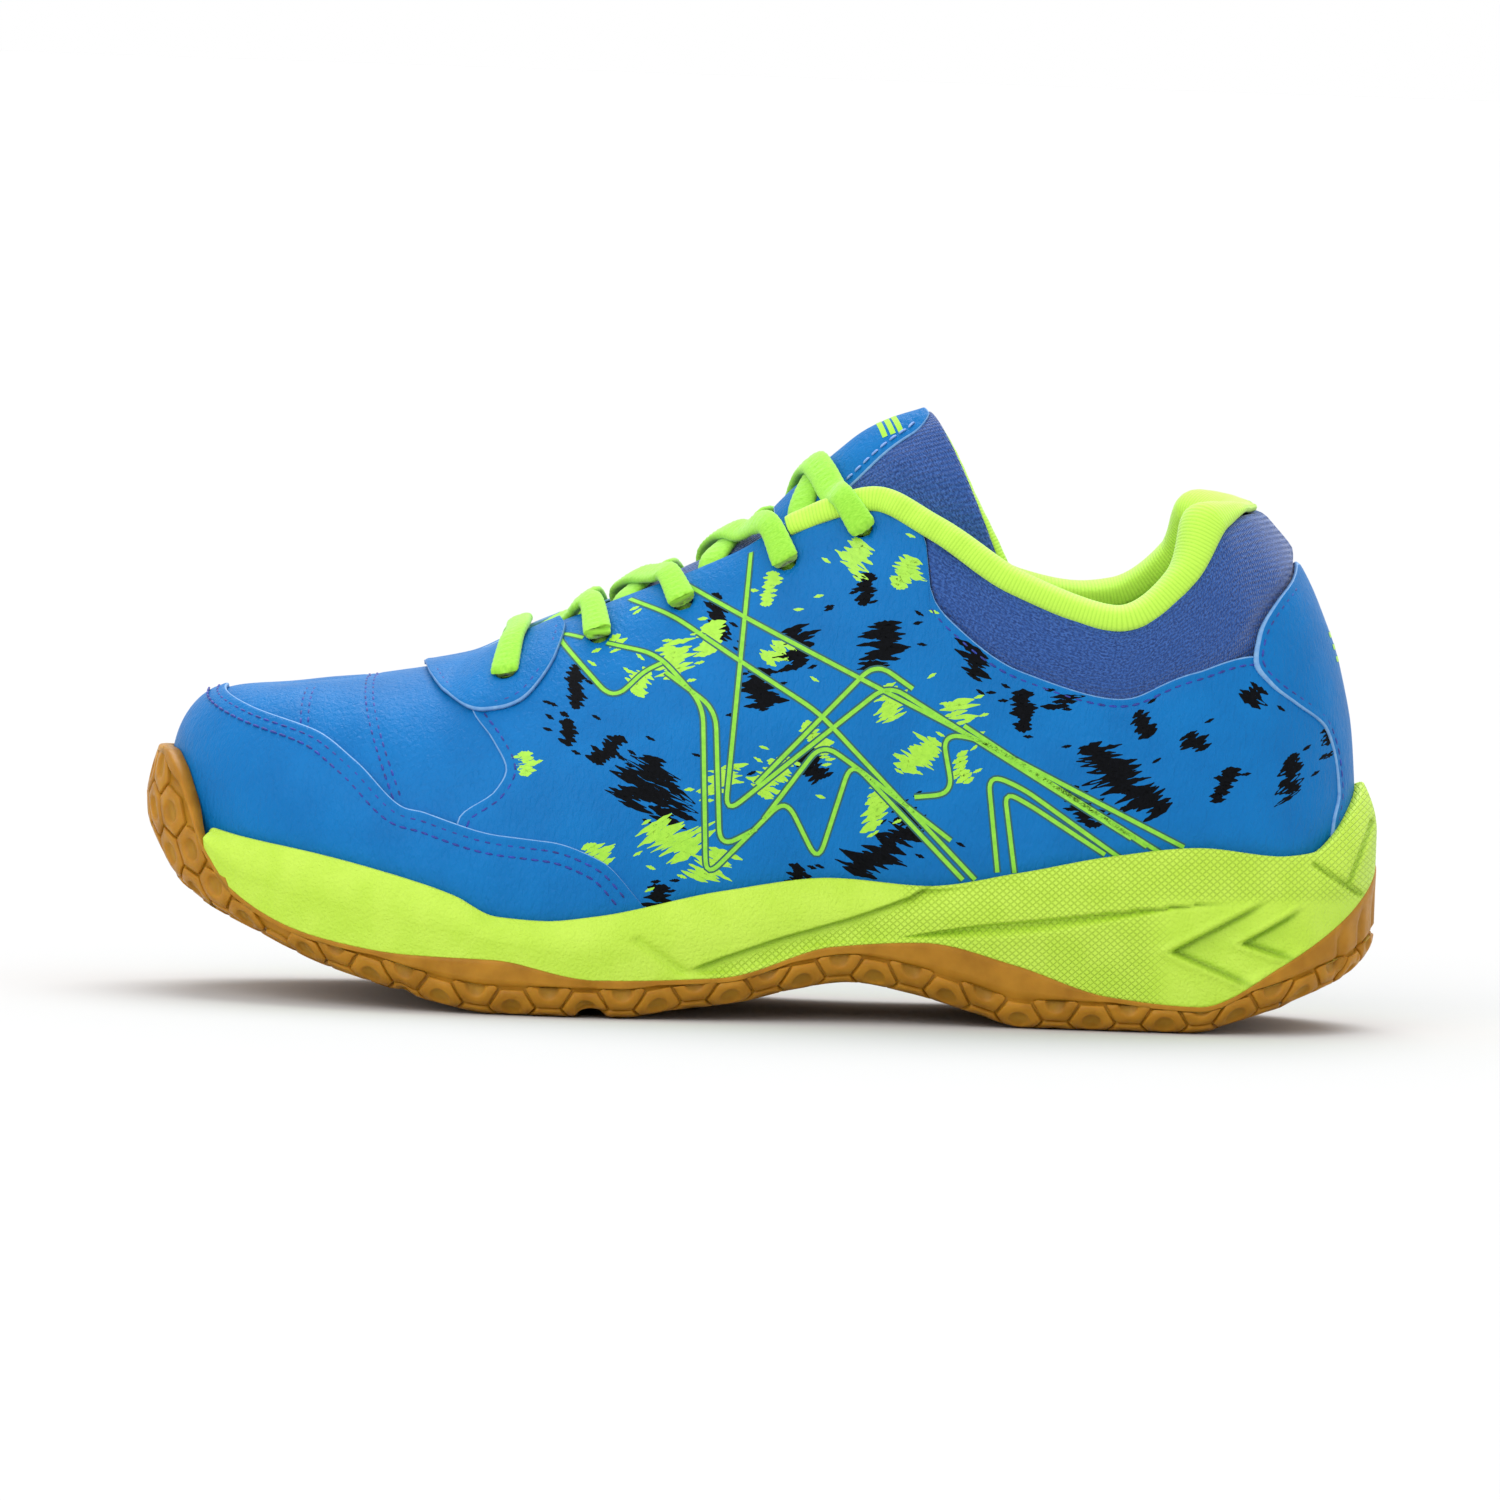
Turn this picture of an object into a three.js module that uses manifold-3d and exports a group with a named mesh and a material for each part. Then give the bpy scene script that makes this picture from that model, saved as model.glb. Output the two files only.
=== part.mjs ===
// Court shoe, left foot, European size 41. Millimetres, +Z up, tread on Z = 0.
// The toe points to -X, the outer (lateral) side of the foot to -Y, the inner (medial) side to +Y.
//
// Everything in the upper is laid on one reference surface, the outside of the lasted upper.
// A place on it is (side, s, t): s runs from 0 at the toe tip to 15 at the back of the heel, and
// t from 0 at the feather line, where the upper meets the sole, to 1 at the upper's top edge.

import * as THREE from 'three';
import Module from 'manifold-3d';

const wasm = await Module();
wasm.setup();

const LATERAL = -1;
const MEDIAL = 1;
const SIDES = [LATERAL, MEDIAL];
const SIDE_NAME = { [LATERAL]: 'lateral', [MEDIAL]: 'medial' };
const HEEL = 15;

// ---------------------------------------------------------------- driving dimensions

// Feather line in plan, one point at each station s, toe to heel.
const FEATHER = {
  [LATERAL]: [[-138.5, 9], [-134, -7], [-121, -22], [-101, -34], [-80, -42], [-61, -45.5], [-38, -46],
    [-10, -42], [16, -37], [38, -34.5], [60, -33.5], [82, -33.5], [102, -32.5], [120, -27], [133, -16],
    [138.5, 0]],
  [MEDIAL]: [[-138.5, 9], [-134, 24], [-121, 35.5], [-101, 43], [-80, 46.5], [-61, 46], [-38, 41],
    [-10, 33.5], [16, 29.5], [38, 29.5], [60, 31], [82, 32.5], [102, 31.5], [120, 26.5], [133, 15.5],
    [138.5, 0]],
};

// Top edge of the upper: its X, its height on each side, and half the throat's opening.
const TOP_X = [[0, -112], [1, -108], [2, -99], [3, -86], [4, -69], [5, -54], [6, -35], [7, -9], [8, 10],
  [8.5, 24], [9, 38], [10, 58], [11, 81], [12, 95], [13, 103], [14, 110.5], [15, 113]];
const TOP_Z = {
  [LATERAL]: [[0, 75.2], [1, 75.6], [2, 77], [3, 78.9], [4, 82.3], [5, 90], [6, 97.7], [7, 108],
    [8, 119.3], [8.5, 123.4], [9, 117.5], [10, 105.3], [11, 98], [12, 108], [13, 121.5], [14, 124],
    [15, 124]],
  [MEDIAL]: [[0, 75.2], [1, 75.6], [2, 77], [3, 78.9], [4, 82.3], [5, 90], [6, 97.7], [7, 108],
    [8, 119.3], [8.5, 123.4], [9, 116.5], [10, 103.5], [10.6, 101], [11, 102], [12, 112], [13, 123],
    [14, 124.5], [15, 124]],
};
const RIDGE_Y = [[0, 8], [2, 7], [4, 5], [6, 3], [8, 1], [9, 0], [15, 0]];
const HALF_GAP = [[0, 0], [4, 0], [4.4, 8], [5, 10.5], [6, 12], [7, 14.5], [8, 18], [8.5, 20.5], [9, 24],
  [10, 29.5], [11, 31.5], [12, 29], [13, 22.5], [14, 12], [15, 0]];

// Cross-section of the upper: two superellipse exponents and the swell of its wall.
const EXPONENT_UP = [[0, 3.8], [1, 3.6], [2, 3.0], [3, 2.5], [4, 2.3], [6, 2.1], [8, 2.2], [10, 2.6],
  [12, 2.8], [15, 3]];
const EXPONENT_IN = [[0, 3.8], [1, 3.4], [2, 2.7], [3, 2.3], [4, 2.0], [5, 1.6], [6, 1.4], [8, 1.2],
  [9, 1.0], [15, 1.0]];
const SWELL = [[0, 1.4], [1, 1.5], [3, 1.6], [6, 1.5], [9, 0.5], [12, 1.2], [15, 0.5]];

// Sole heights: the bed the upper stands on and the tread by X, the two wall edges by station.
const BED_Z = [[-138.5, 33], [-134, 32], [-121, 28.6], [-101, 24], [-80, 20], [-61, 18], [-38, 18],
  [-10, 21], [16, 25], [38, 28], [60, 30], [82, 31], [138.5, 31]];
const TREAD_Z = [[-145, 39], [-138, 26.4], [-131, 21.6], [-117, 15.5], [-103, 9.6], [-89, 5.6], [-75, 1.9],
  [-62, 0], [-32, 0], [-19, 2.1], [-5, 4], [8, 7.3], [22, 9.4], [36, 7.1], [51, 2.9], [62, 0], [102, 0],
  [114, 3.2], [121, 5.3], [129, 8.8], [137, 13], [142, 19], [145, 34]];
const OUTSOLE_TOP = [[0, 57], [0.6, 56.5], [1, 53], [1.4, 43], [1.7, 34], [2, 26.5], [3, 16.2],
  [4, 13.2], [5, 12.9], [6, 9], [7, 10.2], [8, 17.6], [9, 17.8], [10, 12.7], [11, 7.2], [12, 6.5],
  [13, 19], [14, 30.5], [15, 39]];
const MIDSOLE_RIM = [[0, 42], [1, 41], [2, 38], [3, 34.8], [4, 30], [4.5, 27], [5, 22.6], [5.5, 22],
  [6, 23.5], [7, 30], [8, 34], [9, 33], [10, 37], [11, 42], [12, 44.7], [13, 43.5], [13.5, 45],
  [14, 50], [14.5, 55], [15, 58]];
const OUTSOLE_THICKNESS = 4;
const WALL_OUT = 6.4;

// Layers of the upper, as distances out from the reference surface.
const OVERLAY = { outer: 1.2, inner: 0.3 };
const THROAT = { outer: 1.7, inner: 0.7 };
const SHELL = { outer: -0.4, inner: -1.4 };
const STIFFENER = { outer: -2.35, inner: -3.1 };
const LINING_DEPTH = 3.8;
const LINING_THICKNESS = 0.9;
const COLLAR_PADDING = 6.2;
const BINDING_THICKNESS = 0.9;

const GAP = 0.35;
const FIT = 0.6;
const SEAT = OVERLAY.outer + FIT;

// Seam lines on the reference surface.
const TOE_CAP_EDGE = [[0, 0.61], [1.6, 0.47], [2.64, 0.4], [3.19, 0.32], [3.86, 0.22], [5.5, 0.21],
  [6.02, 0.17], [6.35, 0.08], [6.46, 0.04]];
const TOE_CAP_END = 6.46;
const QUARTER_FRONT = [[0, 4.5], [0.22, 4.53], [0.32, 4.97], [0.37, 5.06], [0.45, 4.84], [0.52, 4.5],
  [0.6, 4.35], [1, 4.3]];
const QUARTER_TOP = [[4, 1], [8.3, 1], [8.6, 0.965], [8.88, 0.955], [8.98, 0.8], [9.24, 0.75],
  [10.01, 0.7], [11.11, 0.69], [11.56, 0.7], [12.16, 0.68], [12.8, 0.64], [13.4, 0.6], [15, 0.6]];
const COLLAR_FRONT = 9.14;
const COLLAR_SEAM = 0.02;
const COLLAR_TOP = 0.955;
const BINDING_FRONT = 8.62;
const THROAT_OVERLAY = [[3.3, 1], [3.37, 0.92], [3.63, 0.7], [4.03, 0.55], [4.43, 0.52], [4.75, 0.54],
  [5.05, 0.58], [5.23, 0.65], [5.37, 0.76], [5.41, 0.89], [5.29, 1]];
const HEEL_PANEL_FRONT = [[0, 13.9], [0.2, 14.02], [0.27, 14.17], [0.34, 14.13], [0.43, 13.92],
  [0.5, 13.38], [0.56, 12.99], [0.62, 12.81], [0.69, 12.97], [0.76, 13.49], [0.81, 14.23], [0.84, 14.8]];

// Eyelets, bottom to top, and the lace that runs through them.
const EYELETS = [[4.77, 0.69], [5.82, 0.82], [6.57, 0.86], [7.61, 0.86], [8.36, 0.9]];
const EYELET_RADIUS = 2.7;
const LACE_WIDTH = 7.4;
const LACE_WIDTH_IN_HOLE = 3.6;
const LACE_THICKNESS = 1.5;

// Tongue stations, sewn base to top: crown X and Z, half width on each side, drop and rearward sweep.
const TONGUE = [
  { x: -72, z: 73.5, lateral: 19, medial: 18, drop: 7, sweep: 0 },
  { x: -50, z: 85.2, lateral: 20, medial: 17.5, drop: 12, sweep: 0 },
  { x: -28, z: 97.5, lateral: 21, medial: 16.5, drop: 17, sweep: 0 },
  { x: -6, z: 110.3, lateral: 21.5, medial: 16.5, drop: 25, sweep: 0 },
  { x: 10, z: 127.3, lateral: 21.5, medial: 17.5, drop: 35, sweep: 4 },
  { x: 24, z: 138.7, lateral: 21, medial: 19, drop: 39, sweep: 9 },
  { x: 35.5, z: 143.2, lateral: 20.5, medial: 19, drop: 39, sweep: 14 },
];
const TONGUE_END = TONGUE.length - 1;
const TONGUE_TURN = THREE.MathUtils.degToRad(95);
const TONGUE_FACE_HALF = 0.42;

// Shank plate, under the arch between outsole and midsole.
const SHANK = { rear: 52, front: -18, halfWidth: 14, lift: 0.75, thickness: 1.6 };

// ---------------------------------------------------------------- curves

// Smooth curve through [x, y] points that never overshoots them (Fritsch-Carlson cubic).
function smoothCurve(points) {
  const xs = points.map((point) => point[0]);
  const ys = points.map((point) => point[1]);
  const last = xs.length - 1;
  const steps = xs.slice(1).map((x, i) => x - xs[i]);
  const slopes = steps.map((step, i) => (ys[i + 1] - ys[i]) / step);
  const ends = [slopes[0], slopes[last - 1]];
  const tangents = xs.map((_, i) => {
    if (i === 0) return ends[0];
    if (i === last) return ends[1];
    if (slopes[i - 1] * slopes[i] <= 0) return 0;
    const before = 2 * steps[i] + steps[i - 1];
    const after = steps[i] + 2 * steps[i - 1];
    return (before + after) / (before / slopes[i - 1] + after / slopes[i]);
  });
  return (x) => {
    if (x <= xs[0]) return ys[0];
    if (x >= xs[last]) return ys[last];
    const i = xs.findIndex((edge) => edge > x) - 1;
    const h = steps[i];
    const u = (x - xs[i]) / h;
    return (1 + 2 * u) * (1 - u) ** 2 * ys[i] + u * (1 - u) ** 2 * h * tangents[i]
      + u * u * (3 - 2 * u) * ys[i + 1] - u * u * (1 - u) * h * tangents[i + 1];
  };
}

// Straight-sided line through [a, b] points, by the fraction of its points passed.
function polyline(points) {
  return (fraction) => {
    const place = Math.min(fraction * (points.length - 1), points.length - 1.000001);
    const i = Math.floor(place);
    const u = place - i;
    return points[i].map((value, k) => value * (1 - u) + points[i + 1][k] * u);
  };
}

const range = (from, to, count) => Array.from({ length: count + 1 }, (_, i) => from + (to - from) * i / count);
const vec = (x, y, z) => new THREE.Vector3(x, y, z);
const bothSides = (values) => ({ [LATERAL]: smoothCurve(values[LATERAL]), [MEDIAL]: smoothCurve(values[MEDIAL]) });

// ---------------------------------------------------------------- reference surface

const topX = smoothCurve(TOP_X);
const topZ = bothSides(TOP_Z);
const ridgeY = smoothCurve(RIDGE_Y);
const halfGap = smoothCurve(HALF_GAP);
const exponentUp = smoothCurve(EXPONENT_UP);
const exponentIn = smoothCurve(EXPONENT_IN);
const swell = smoothCurve(SWELL);
const bedZ = smoothCurve(BED_Z);
const treadZ = smoothCurve(TREAD_Z);
const outsoleTop = smoothCurve(OUTSOLE_TOP);
const midsoleRim = smoothCurve(MIDSOLE_RIM);
const toeCapEdge = smoothCurve(TOE_CAP_EDGE);
const quarterFront = smoothCurve(QUARTER_FRONT);
const quarterTop = smoothCurve(QUARTER_TOP);
const heelPanelFront = smoothCurve(HEEL_PANEL_FRONT);

const LOOP = [...FEATHER[LATERAL], ...FEATHER[MEDIAL].slice(1, -1).reverse()];
const loopCurve = new THREE.CatmullRomCurve3(LOOP.map(([x, y]) => vec(x, y, 0)), true, 'catmullrom', 0.5);

function loopPoint(p) {
  const whole = LOOP.length;
  return loopCurve.getPoint((((p % whole) + whole) % whole) / whole);
}

const loopPlace = (side, s) => (side === LATERAL ? s : LOOP.length - s);
const featherPoint = (side, s) => loopPoint(loopPlace(side, s));

// Horizontal direction out of the shoe at the feather line.
function outward(side, s) {
  const p = loopPlace(side, s);
  const along = loopPoint(p + 0.05).sub(loopPoint(p - 0.05));
  return vec(along.y, -along.x, 0).normalize();
}

// Point of the reference surface at a fraction of its height.
function pointAtRise(side, s, rise) {
  const feather = featherPoint(side, s);
  const bed = bedZ(feather.x);
  const inFraction = 1 - Math.max(0, 1 - rise ** exponentUp(s)) ** (1 / exponentIn(s));
  const top = vec(topX(s), ridgeY(s) + side * halfGap(s), 0);
  const out = swell(s) * Math.sin(Math.PI * rise) * (1 - inFraction);
  const point = feather.clone().lerp(top, inFraction).addScaledVector(outward(side, s), out);
  point.z = bed + (topZ[side](s) - bed) * rise;
  return point;
}

// Point of the reference surface at t, which is spread more evenly along the girth than the rise.
function surfacePoint(side, s, t) {
  const n = exponentIn(s);
  const eased = 1 - (1 - t) ** (1 + (n - 1) * 0.35);
  const roundness = THREE.MathUtils.clamp(n - 1, 0, 1);
  const rise = (1 - roundness) * eased + roundness * Math.sin(Math.PI * eased / 2);
  return pointAtRise(side, s, rise);
}

function surfaceNormal(side, s, t) {
  const step = 0.01;
  const s0 = THREE.MathUtils.clamp(s, 0.05, HEEL - 0.05);
  const t0 = THREE.MathUtils.clamp(t, 0.02, 0.97);
  const along = surfacePoint(side, s0 + step, t0).sub(surfacePoint(side, s0 - step, t0));
  const up = surfacePoint(side, s0, t0 + step).sub(surfacePoint(side, s0, t0 - step));
  return along.cross(up).multiplyScalar(-side).normalize();
}

// Point at a height on or below the reference surface, moved straight out of the shoe.
function wallPoint(side, s, z, out) {
  const bed = bedZ(featherPoint(side, s).x);
  const rise = Math.max(0, (z - bed) / (topZ[side](s) - bed));
  const point = pointAtRise(side, s, rise).addScaledVector(outward(side, s), out);
  point.z = z;
  return point;
}

// How thick the padding between collar and lining is, from 0 to 1.
function padding(s, t) {
  return THREE.MathUtils.smoothstep(s, 9.3, 10.8) * THREE.MathUtils.smoothstep(t, 0.48, 0.7);
}

const liningDepth = (s, t) => LINING_DEPTH + COLLAR_PADDING * padding(s, t);

// ---------------------------------------------------------------- mesh builders

// Collects points, sharing those that coincide, and drops triangles that have no area.
class MeshMaker {
  constructor() {
    this.points = [];
    this.triangles = [];
    this.known = new Map();
  }

  add(point) {
    const key = [point.x, point.y, point.z].map((value) => Math.round(value * 1e4)).join();
    if (!this.known.has(key)) {
      this.known.set(key, this.points.length);
      this.points.push(point);
    }
    return this.known.get(key);
  }

  triangle(a, b, c) {
    if (a !== b && b !== c && c !== a) this.triangles.push([a, b, c]);
  }

  quad(a, b, c, d) {
    this.triangle(a, b, c);
    this.triangle(a, c, d);
  }

  geometry() {
    const geometry = new THREE.BufferGeometry();
    geometry.setAttribute('position', new THREE.Float32BufferAttribute(
      this.points.flatMap((point) => point.toArray()), 3));
    geometry.setIndex(this.triangles.flat());
    geometry.computeVertexNormals();
    return geometry;
  }
}

// A patch is a grid of places; at(u, v) gives a place's point and whatever its thickness depends on.
function patch(us, vs, at, flip = false) {
  return { us, vs, at, flip };
}

// Patch of the upper, where at(u, v) gives [s, t].
function upperPatch(side, us, vs, at) {
  return patch(us, vs, (u, v) => {
    const [s, t] = at(u, v);
    return { point: surfacePoint(side, s, t), s, t };
  }, side === MEDIAL);
}

const upperPatches = (us, vs, at) => SIDES.map((side) => upperPatch(side, us, vs, at));

// Closed sheet over patches, between two distances out from them.
function sheet(patches, outer, inner) {
  const middle = new MeshMaker();
  const places = [];
  for (const { us, vs, at, flip } of patches) {
    const grid = us.map((u) => vs.map((v) => {
      const place = at(u, v);
      const index = middle.add(place.point);
      places[index] ??= place;
      return index;
    }));
    for (let i = 0; i < us.length - 1; i += 1) {
      for (let j = 0; j < vs.length - 1; j += 1) {
        const corners = [grid[i][j], grid[i + 1][j], grid[i + 1][j + 1], grid[i][j + 1]];
        if (flip) corners.reverse();
        middle.quad(...corners);
      }
    }
  }
  const normals = middle.points.map(() => vec(0, 0, 0));
  const edges = new Map();
  for (const [a, b, c] of middle.triangles) {
    const [pa, pb, pc] = [a, b, c].map((i) => middle.points[i]);
    const area = pb.clone().sub(pa).cross(pc.clone().sub(pa));
    for (const i of [a, b, c]) normals[i].add(area);
    for (const [from, to] of [[a, b], [b, c], [c, a]]) {
      if (!edges.delete(`${to},${from}`)) edges.set(`${from},${to}`, [from, to]);
    }
  }
  const value = (offset, place) => (typeof offset === 'function' ? offset(place) : offset);
  const shell = new MeshMaker();
  const layer = (offset) => middle.points.map((point, i) => shell.add(
    point.clone().addScaledVector(normals[i].clone().normalize(), value(offset, places[i]))));
  const outside = layer(outer);
  const inside = layer(inner);
  for (const [a, b, c] of middle.triangles) {
    shell.triangle(outside[a], outside[b], outside[c]);
    shell.triangle(inside[c], inside[b], inside[a]);
  }
  for (const [from, to] of edges.values()) {
    shell.quad(outside[to], outside[from], inside[from], inside[to]);
  }
  return shell.geometry();
}

// Solid of revolution-like columns round the sole: each runs from the underside's middle line, out
// round the edge, to the top side's middle line.
function soleSolid(profile, perStation = 2) {
  const maker = new MeshMaker();
  const count = perStation * LOOP.length;
  const columns = range(0, LOOP.length, count).slice(0, -1).map((p) => {
    const side = p <= HEEL ? LATERAL : MEDIAL;
    const s = side === LATERAL ? p : LOOP.length - p;
    return profile(side, s).map((point) => maker.add(point));
  });
  columns.forEach((column, i) => {
    const next = columns[(i + 1) % columns.length];
    for (let j = 0; j < column.length - 1; j += 1) {
      maker.quad(column[j], next[j], next[j + 1], column[j + 1]);
    }
  });
  return maker.geometry();
}

// Closed sweep of a section along frames, where section x and y follow the frame's across and out.
function sweep(frames, sectionAt) {
  const maker = new MeshMaker();
  const rings = frames.map((frame, i) => sectionAt(i).map(([across, out]) => maker.add(
    frame.origin.clone().addScaledVector(frame.across, across).addScaledVector(frame.out, out))));
  for (let i = 0; i < rings.length - 1; i += 1) {
    rings[i].forEach((index, j) => {
      const k = (j + 1) % rings[i].length;
      maker.quad(index, rings[i][k], rings[i + 1][k], rings[i + 1][j]);
    });
  }
  const outline = sectionAt(0).map(([x, y]) => new THREE.Vector2(x, y));
  const end = rings.length - 1;
  for (const [a, b, c] of THREE.ShapeUtils.triangulateShape(outline, [])) {
    maker.triangle(rings[0][c], rings[0][b], rings[0][a]);
    maker.triangle(rings[end][a], rings[end][b], rings[end][c]);
  }
  return maker.geometry();
}

// Frames along points, with the out direction kept as near as may be to the wanted one.
function framesAlong(points, outs) {
  return points.map((origin, i) => {
    const before = points[Math.max(i - 1, 0)];
    const after = points[Math.min(i + 1, points.length - 1)];
    const forward = after.clone().sub(before).normalize();
    const out = outs[i].clone().addScaledVector(forward, -outs[i].dot(forward)).normalize();
    return { origin, out, across: out.clone().cross(forward) };
  });
}

function toManifold(geometry) {
  return new wasm.Manifold(new wasm.Mesh({
    numProp: 3,
    vertProperties: new Float32Array(geometry.attributes.position.array),
    triVerts: new Uint32Array(geometry.index.array),
  }));
}

// Cuts a piece and keeps its main body, without the slivers beyond a cutter.
function subtract(geometry, cutters) {
  let solid = toManifold(geometry);
  for (const cutter of cutters) solid = solid.subtract(toManifold(cutter));
  const [main] = solid.decompose().sort((a, b) => b.volume() - a.volume());
  const mesh = main.getMesh();
  const result = new THREE.BufferGeometry();
  result.setAttribute('position', new THREE.Float32BufferAttribute(mesh.vertProperties, 3));
  result.setIndex([...mesh.triVerts]);
  result.computeVertexNormals();
  return result;
}

// ---------------------------------------------------------------- sole

// Middle line of the sole, which the columns at toe and heel fan out from.
function spine(s) {
  const place = THREE.MathUtils.clamp(s, 2.8, 12.3);
  return featherPoint(LATERAL, place).add(featherPoint(MEDIAL, place)).multiplyScalar(0.5);
}

// Where the outsole rises over the toe instead of the midsole, from 0 to 1.
const toeBumper = (s) => THREE.MathUtils.smoothstep(outsoleTop(s) - midsoleRim(s), -4, 6);

// Points from the middle line to an edge in plan, with heights from a function of X.
function flatRun(side, s, out, height, fractions) {
  const middle = spine(s);
  const edge = featherPoint(side, s).addScaledVector(outward(side, s), out);
  return fractions.map((fraction) => {
    const point = middle.clone().lerp(edge, fraction);
    point.z = height(point.x);
    return point;
  });
}

const ACROSS = [0, 0.45, 0.8, 1];
const ACROSS_BACK = [...ACROSS].reverse();
const ACROSS_BED = [0, 0.6, 1];

// The outsole grown by a clearance, so that the same shape also cuts its seat in the midsole.
function outsoleShape(grow) {
  return soleSolid((side, s) => {
    const top = outsoleTop(s);
    const bumper = toeBumper(s);
    const outer = THREE.MathUtils.lerp(WALL_OUT, 4.9, bumper);
    const outerTop = THREE.MathUtils.lerp(WALL_OUT, 2.9, bumper);
    const inner = THREE.MathUtils.lerp(4.1, SEAT, bumper);
    const under = treadZ(featherPoint(side, s).addScaledVector(outward(side, s), 4.6).x);
    const foot = under + 1.3;
    return [
      ...flatRun(side, s, THREE.MathUtils.lerp(2.8, 0.6, bumper) + grow, (x) => treadZ(x) - grow, ACROSS),
      wallPoint(side, s, foot, 4.6 + grow),
      wallPoint(side, s, THREE.MathUtils.lerp(foot, top, 0.5), outer + grow),
      wallPoint(side, s, top + grow, outerTop + grow),
      wallPoint(side, s, top + grow, inner - grow),
      wallPoint(side, s, THREE.MathUtils.lerp(foot + 2, top, 0.5), inner - grow),
      ...flatRun(side, s, THREE.MathUtils.lerp(3.4, SEAT, bumper) - grow,
        (x) => Math.min(treadZ(x) + OUTSOLE_THICKNESS, bedZ(x) - 1.8) + grow, ACROSS_BACK),
    ];
  });
}

function outsole() {
  return outsoleShape(0);
}

function shankShape(grow) {
  const low = OUTSOLE_THICKNESS + SHANK.lift - grow;
  const high = OUTSOLE_THICKNESS + SHANK.lift + SHANK.thickness + grow;
  const xs = range(SHANK.front - grow, SHANK.rear + grow, 10);
  const outline = [
    ...xs.map((x) => new THREE.Vector2(x, treadZ(x) + low)),
    ...xs.reverse().map((x) => new THREE.Vector2(x, treadZ(x) + high)),
  ];
  const depth = 2 * (SHANK.halfWidth + grow);
  const prism = new THREE.ExtrudeGeometry(new THREE.Shape(outline), { depth, bevelEnabled: false });
  prism.rotateX(Math.PI / 2).translate(0, depth / 2 - 3, 0);
  return welded(prism);
}

// Indexed copy of a geometry with its coinciding points shared.
function welded(geometry) {
  const flat = geometry.index ? geometry.toNonIndexed() : geometry;
  const position = flat.attributes.position;
  const maker = new MeshMaker();
  for (let i = 0; i < position.count; i += 3) {
    maker.triangle(...[0, 1, 2].map((k) => maker.add(vec().fromBufferAttribute(position, i + k))));
  }
  return maker.geometry();
}

// Cupped midsole: the upper stands on its bed, inside its wall.
function midsole() {
  const block = soleSolid((side, s) => {
    const bumper = toeBumper(s);
    const bed = bedZ(featherPoint(side, s).x);
    const rim = THREE.MathUtils.lerp(midsoleRim(s), bed, bumper);
    const foot = Math.min(outsoleTop(s), rim - 5) - 0.8;
    const wall = (z, out) => wallPoint(side, s, z, THREE.MathUtils.lerp(out, SEAT, bumper));
    return [
      ...flatRun(side, s, THREE.MathUtils.lerp(2.6, 1, bumper), (x) => treadZ(x) + 2.5, ACROSS),
      wall(foot, 5.4),
      wall(foot + 1, WALL_OUT - 0.1),
      wall(THREE.MathUtils.lerp(foot, rim, 0.5), WALL_OUT - 0.1),
      wall(rim, SEAT + 1.3),
      wall(rim - 0.2, SEAT),
      wall((rim + bed) / 2 - 0.3, SEAT),
      ...flatRun(side, s, SEAT, (x) => bedZ(x) - FIT, ACROSS_BACK),
    ];
  });
  const pocket = shankShape(GAP);
  const mouth = pocket.clone().translate(0, 0, -2);
  return subtract(block, [outsoleShape(GAP), pocket, mouth]);
}

function shankPlate() {
  return shankShape(0);
}

// Flat piece that follows the bed, between two heights above it, inset from the feather line.
function bedPiece(inset, low, high) {
  return soleSolid((side, s) => [
    ...flatRun(side, s, -inset, (x) => bedZ(x) + low, ACROSS_BED),
    ...flatRun(side, s, -inset, (x) => bedZ(x) + high, [...ACROSS_BED].reverse()),
  ], 1);
}

const lastingBoard = () => bedPiece(5.4, 0.3, 1.8);
const socklinerFoam = () => bedPiece(6.6, 2.2, 6.2);
const socklinerCover = () => bedPiece(6.6, 6.5, 7.3);

// ---------------------------------------------------------------- upper

const ROWS = range(0, 1, 7);
const toeStations = (end) => range(0, end, Math.round(end * 2));

function toeCap() {
  const patches = upperPatches(toeStations(TOE_CAP_END), range(0, 1, 4),
    (s, v) => [s, v * toeCapEdge(s)]);
  return sheet(patches, OVERLAY.outer, OVERLAY.inner);
}

function vamp() {
  const columns = [0, 0.12, 0.24, 0.36, 0.48, 0.6, 0.7, 0.8, 0.88, 0.94, 1];
  const patches = upperPatches(columns, ROWS, (u, t) => [u * quarterFront(t), t]);
  return sheet(patches, SHELL.outer, SHELL.inner);
}

function toePuff() {
  const patches = upperPatches(range(0, 2.5, 5), ROWS, (s, t) => [s, t]);
  return sheet(patches, STIFFENER.outer, STIFFENER.inner);
}

function vampLining() {
  const patches = upperPatches(range(0, 4.3, 8), ROWS, (s, t) => [s, t]);
  return sheet(patches, -LINING_DEPTH, -LINING_DEPTH - LINING_THICKNESS);
}

// Round cutter along the surface normal at each eyelet.
function eyeletCutters(side) {
  return EYELETS.map(([s, t]) => {
    const cylinder = new THREE.CylinderGeometry(EYELET_RADIUS, EYELET_RADIUS, 14, 8);
    const turn = new THREE.Quaternion().setFromUnitVectors(vec(0, 1, 0), surfaceNormal(side, s, t));
    cylinder.applyQuaternion(turn);
    cylinder.translate(...surfacePoint(side, s, t).toArray());
    return welded(cylinder);
  });
}

function quarter(side) {
  const heelGap = 0.04;
  const shape = upperPatch(side, range(0, 1, 20), ROWS, (u, v) => {
    const front = quarterFront(v) + 0.06;
    const s = front + u * (HEEL - heelGap - front);
    return [s, v * quarterTop(s)];
  });
  return subtract(sheet([shape], SHELL.outer, SHELL.inner), eyeletCutters(side));
}

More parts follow.
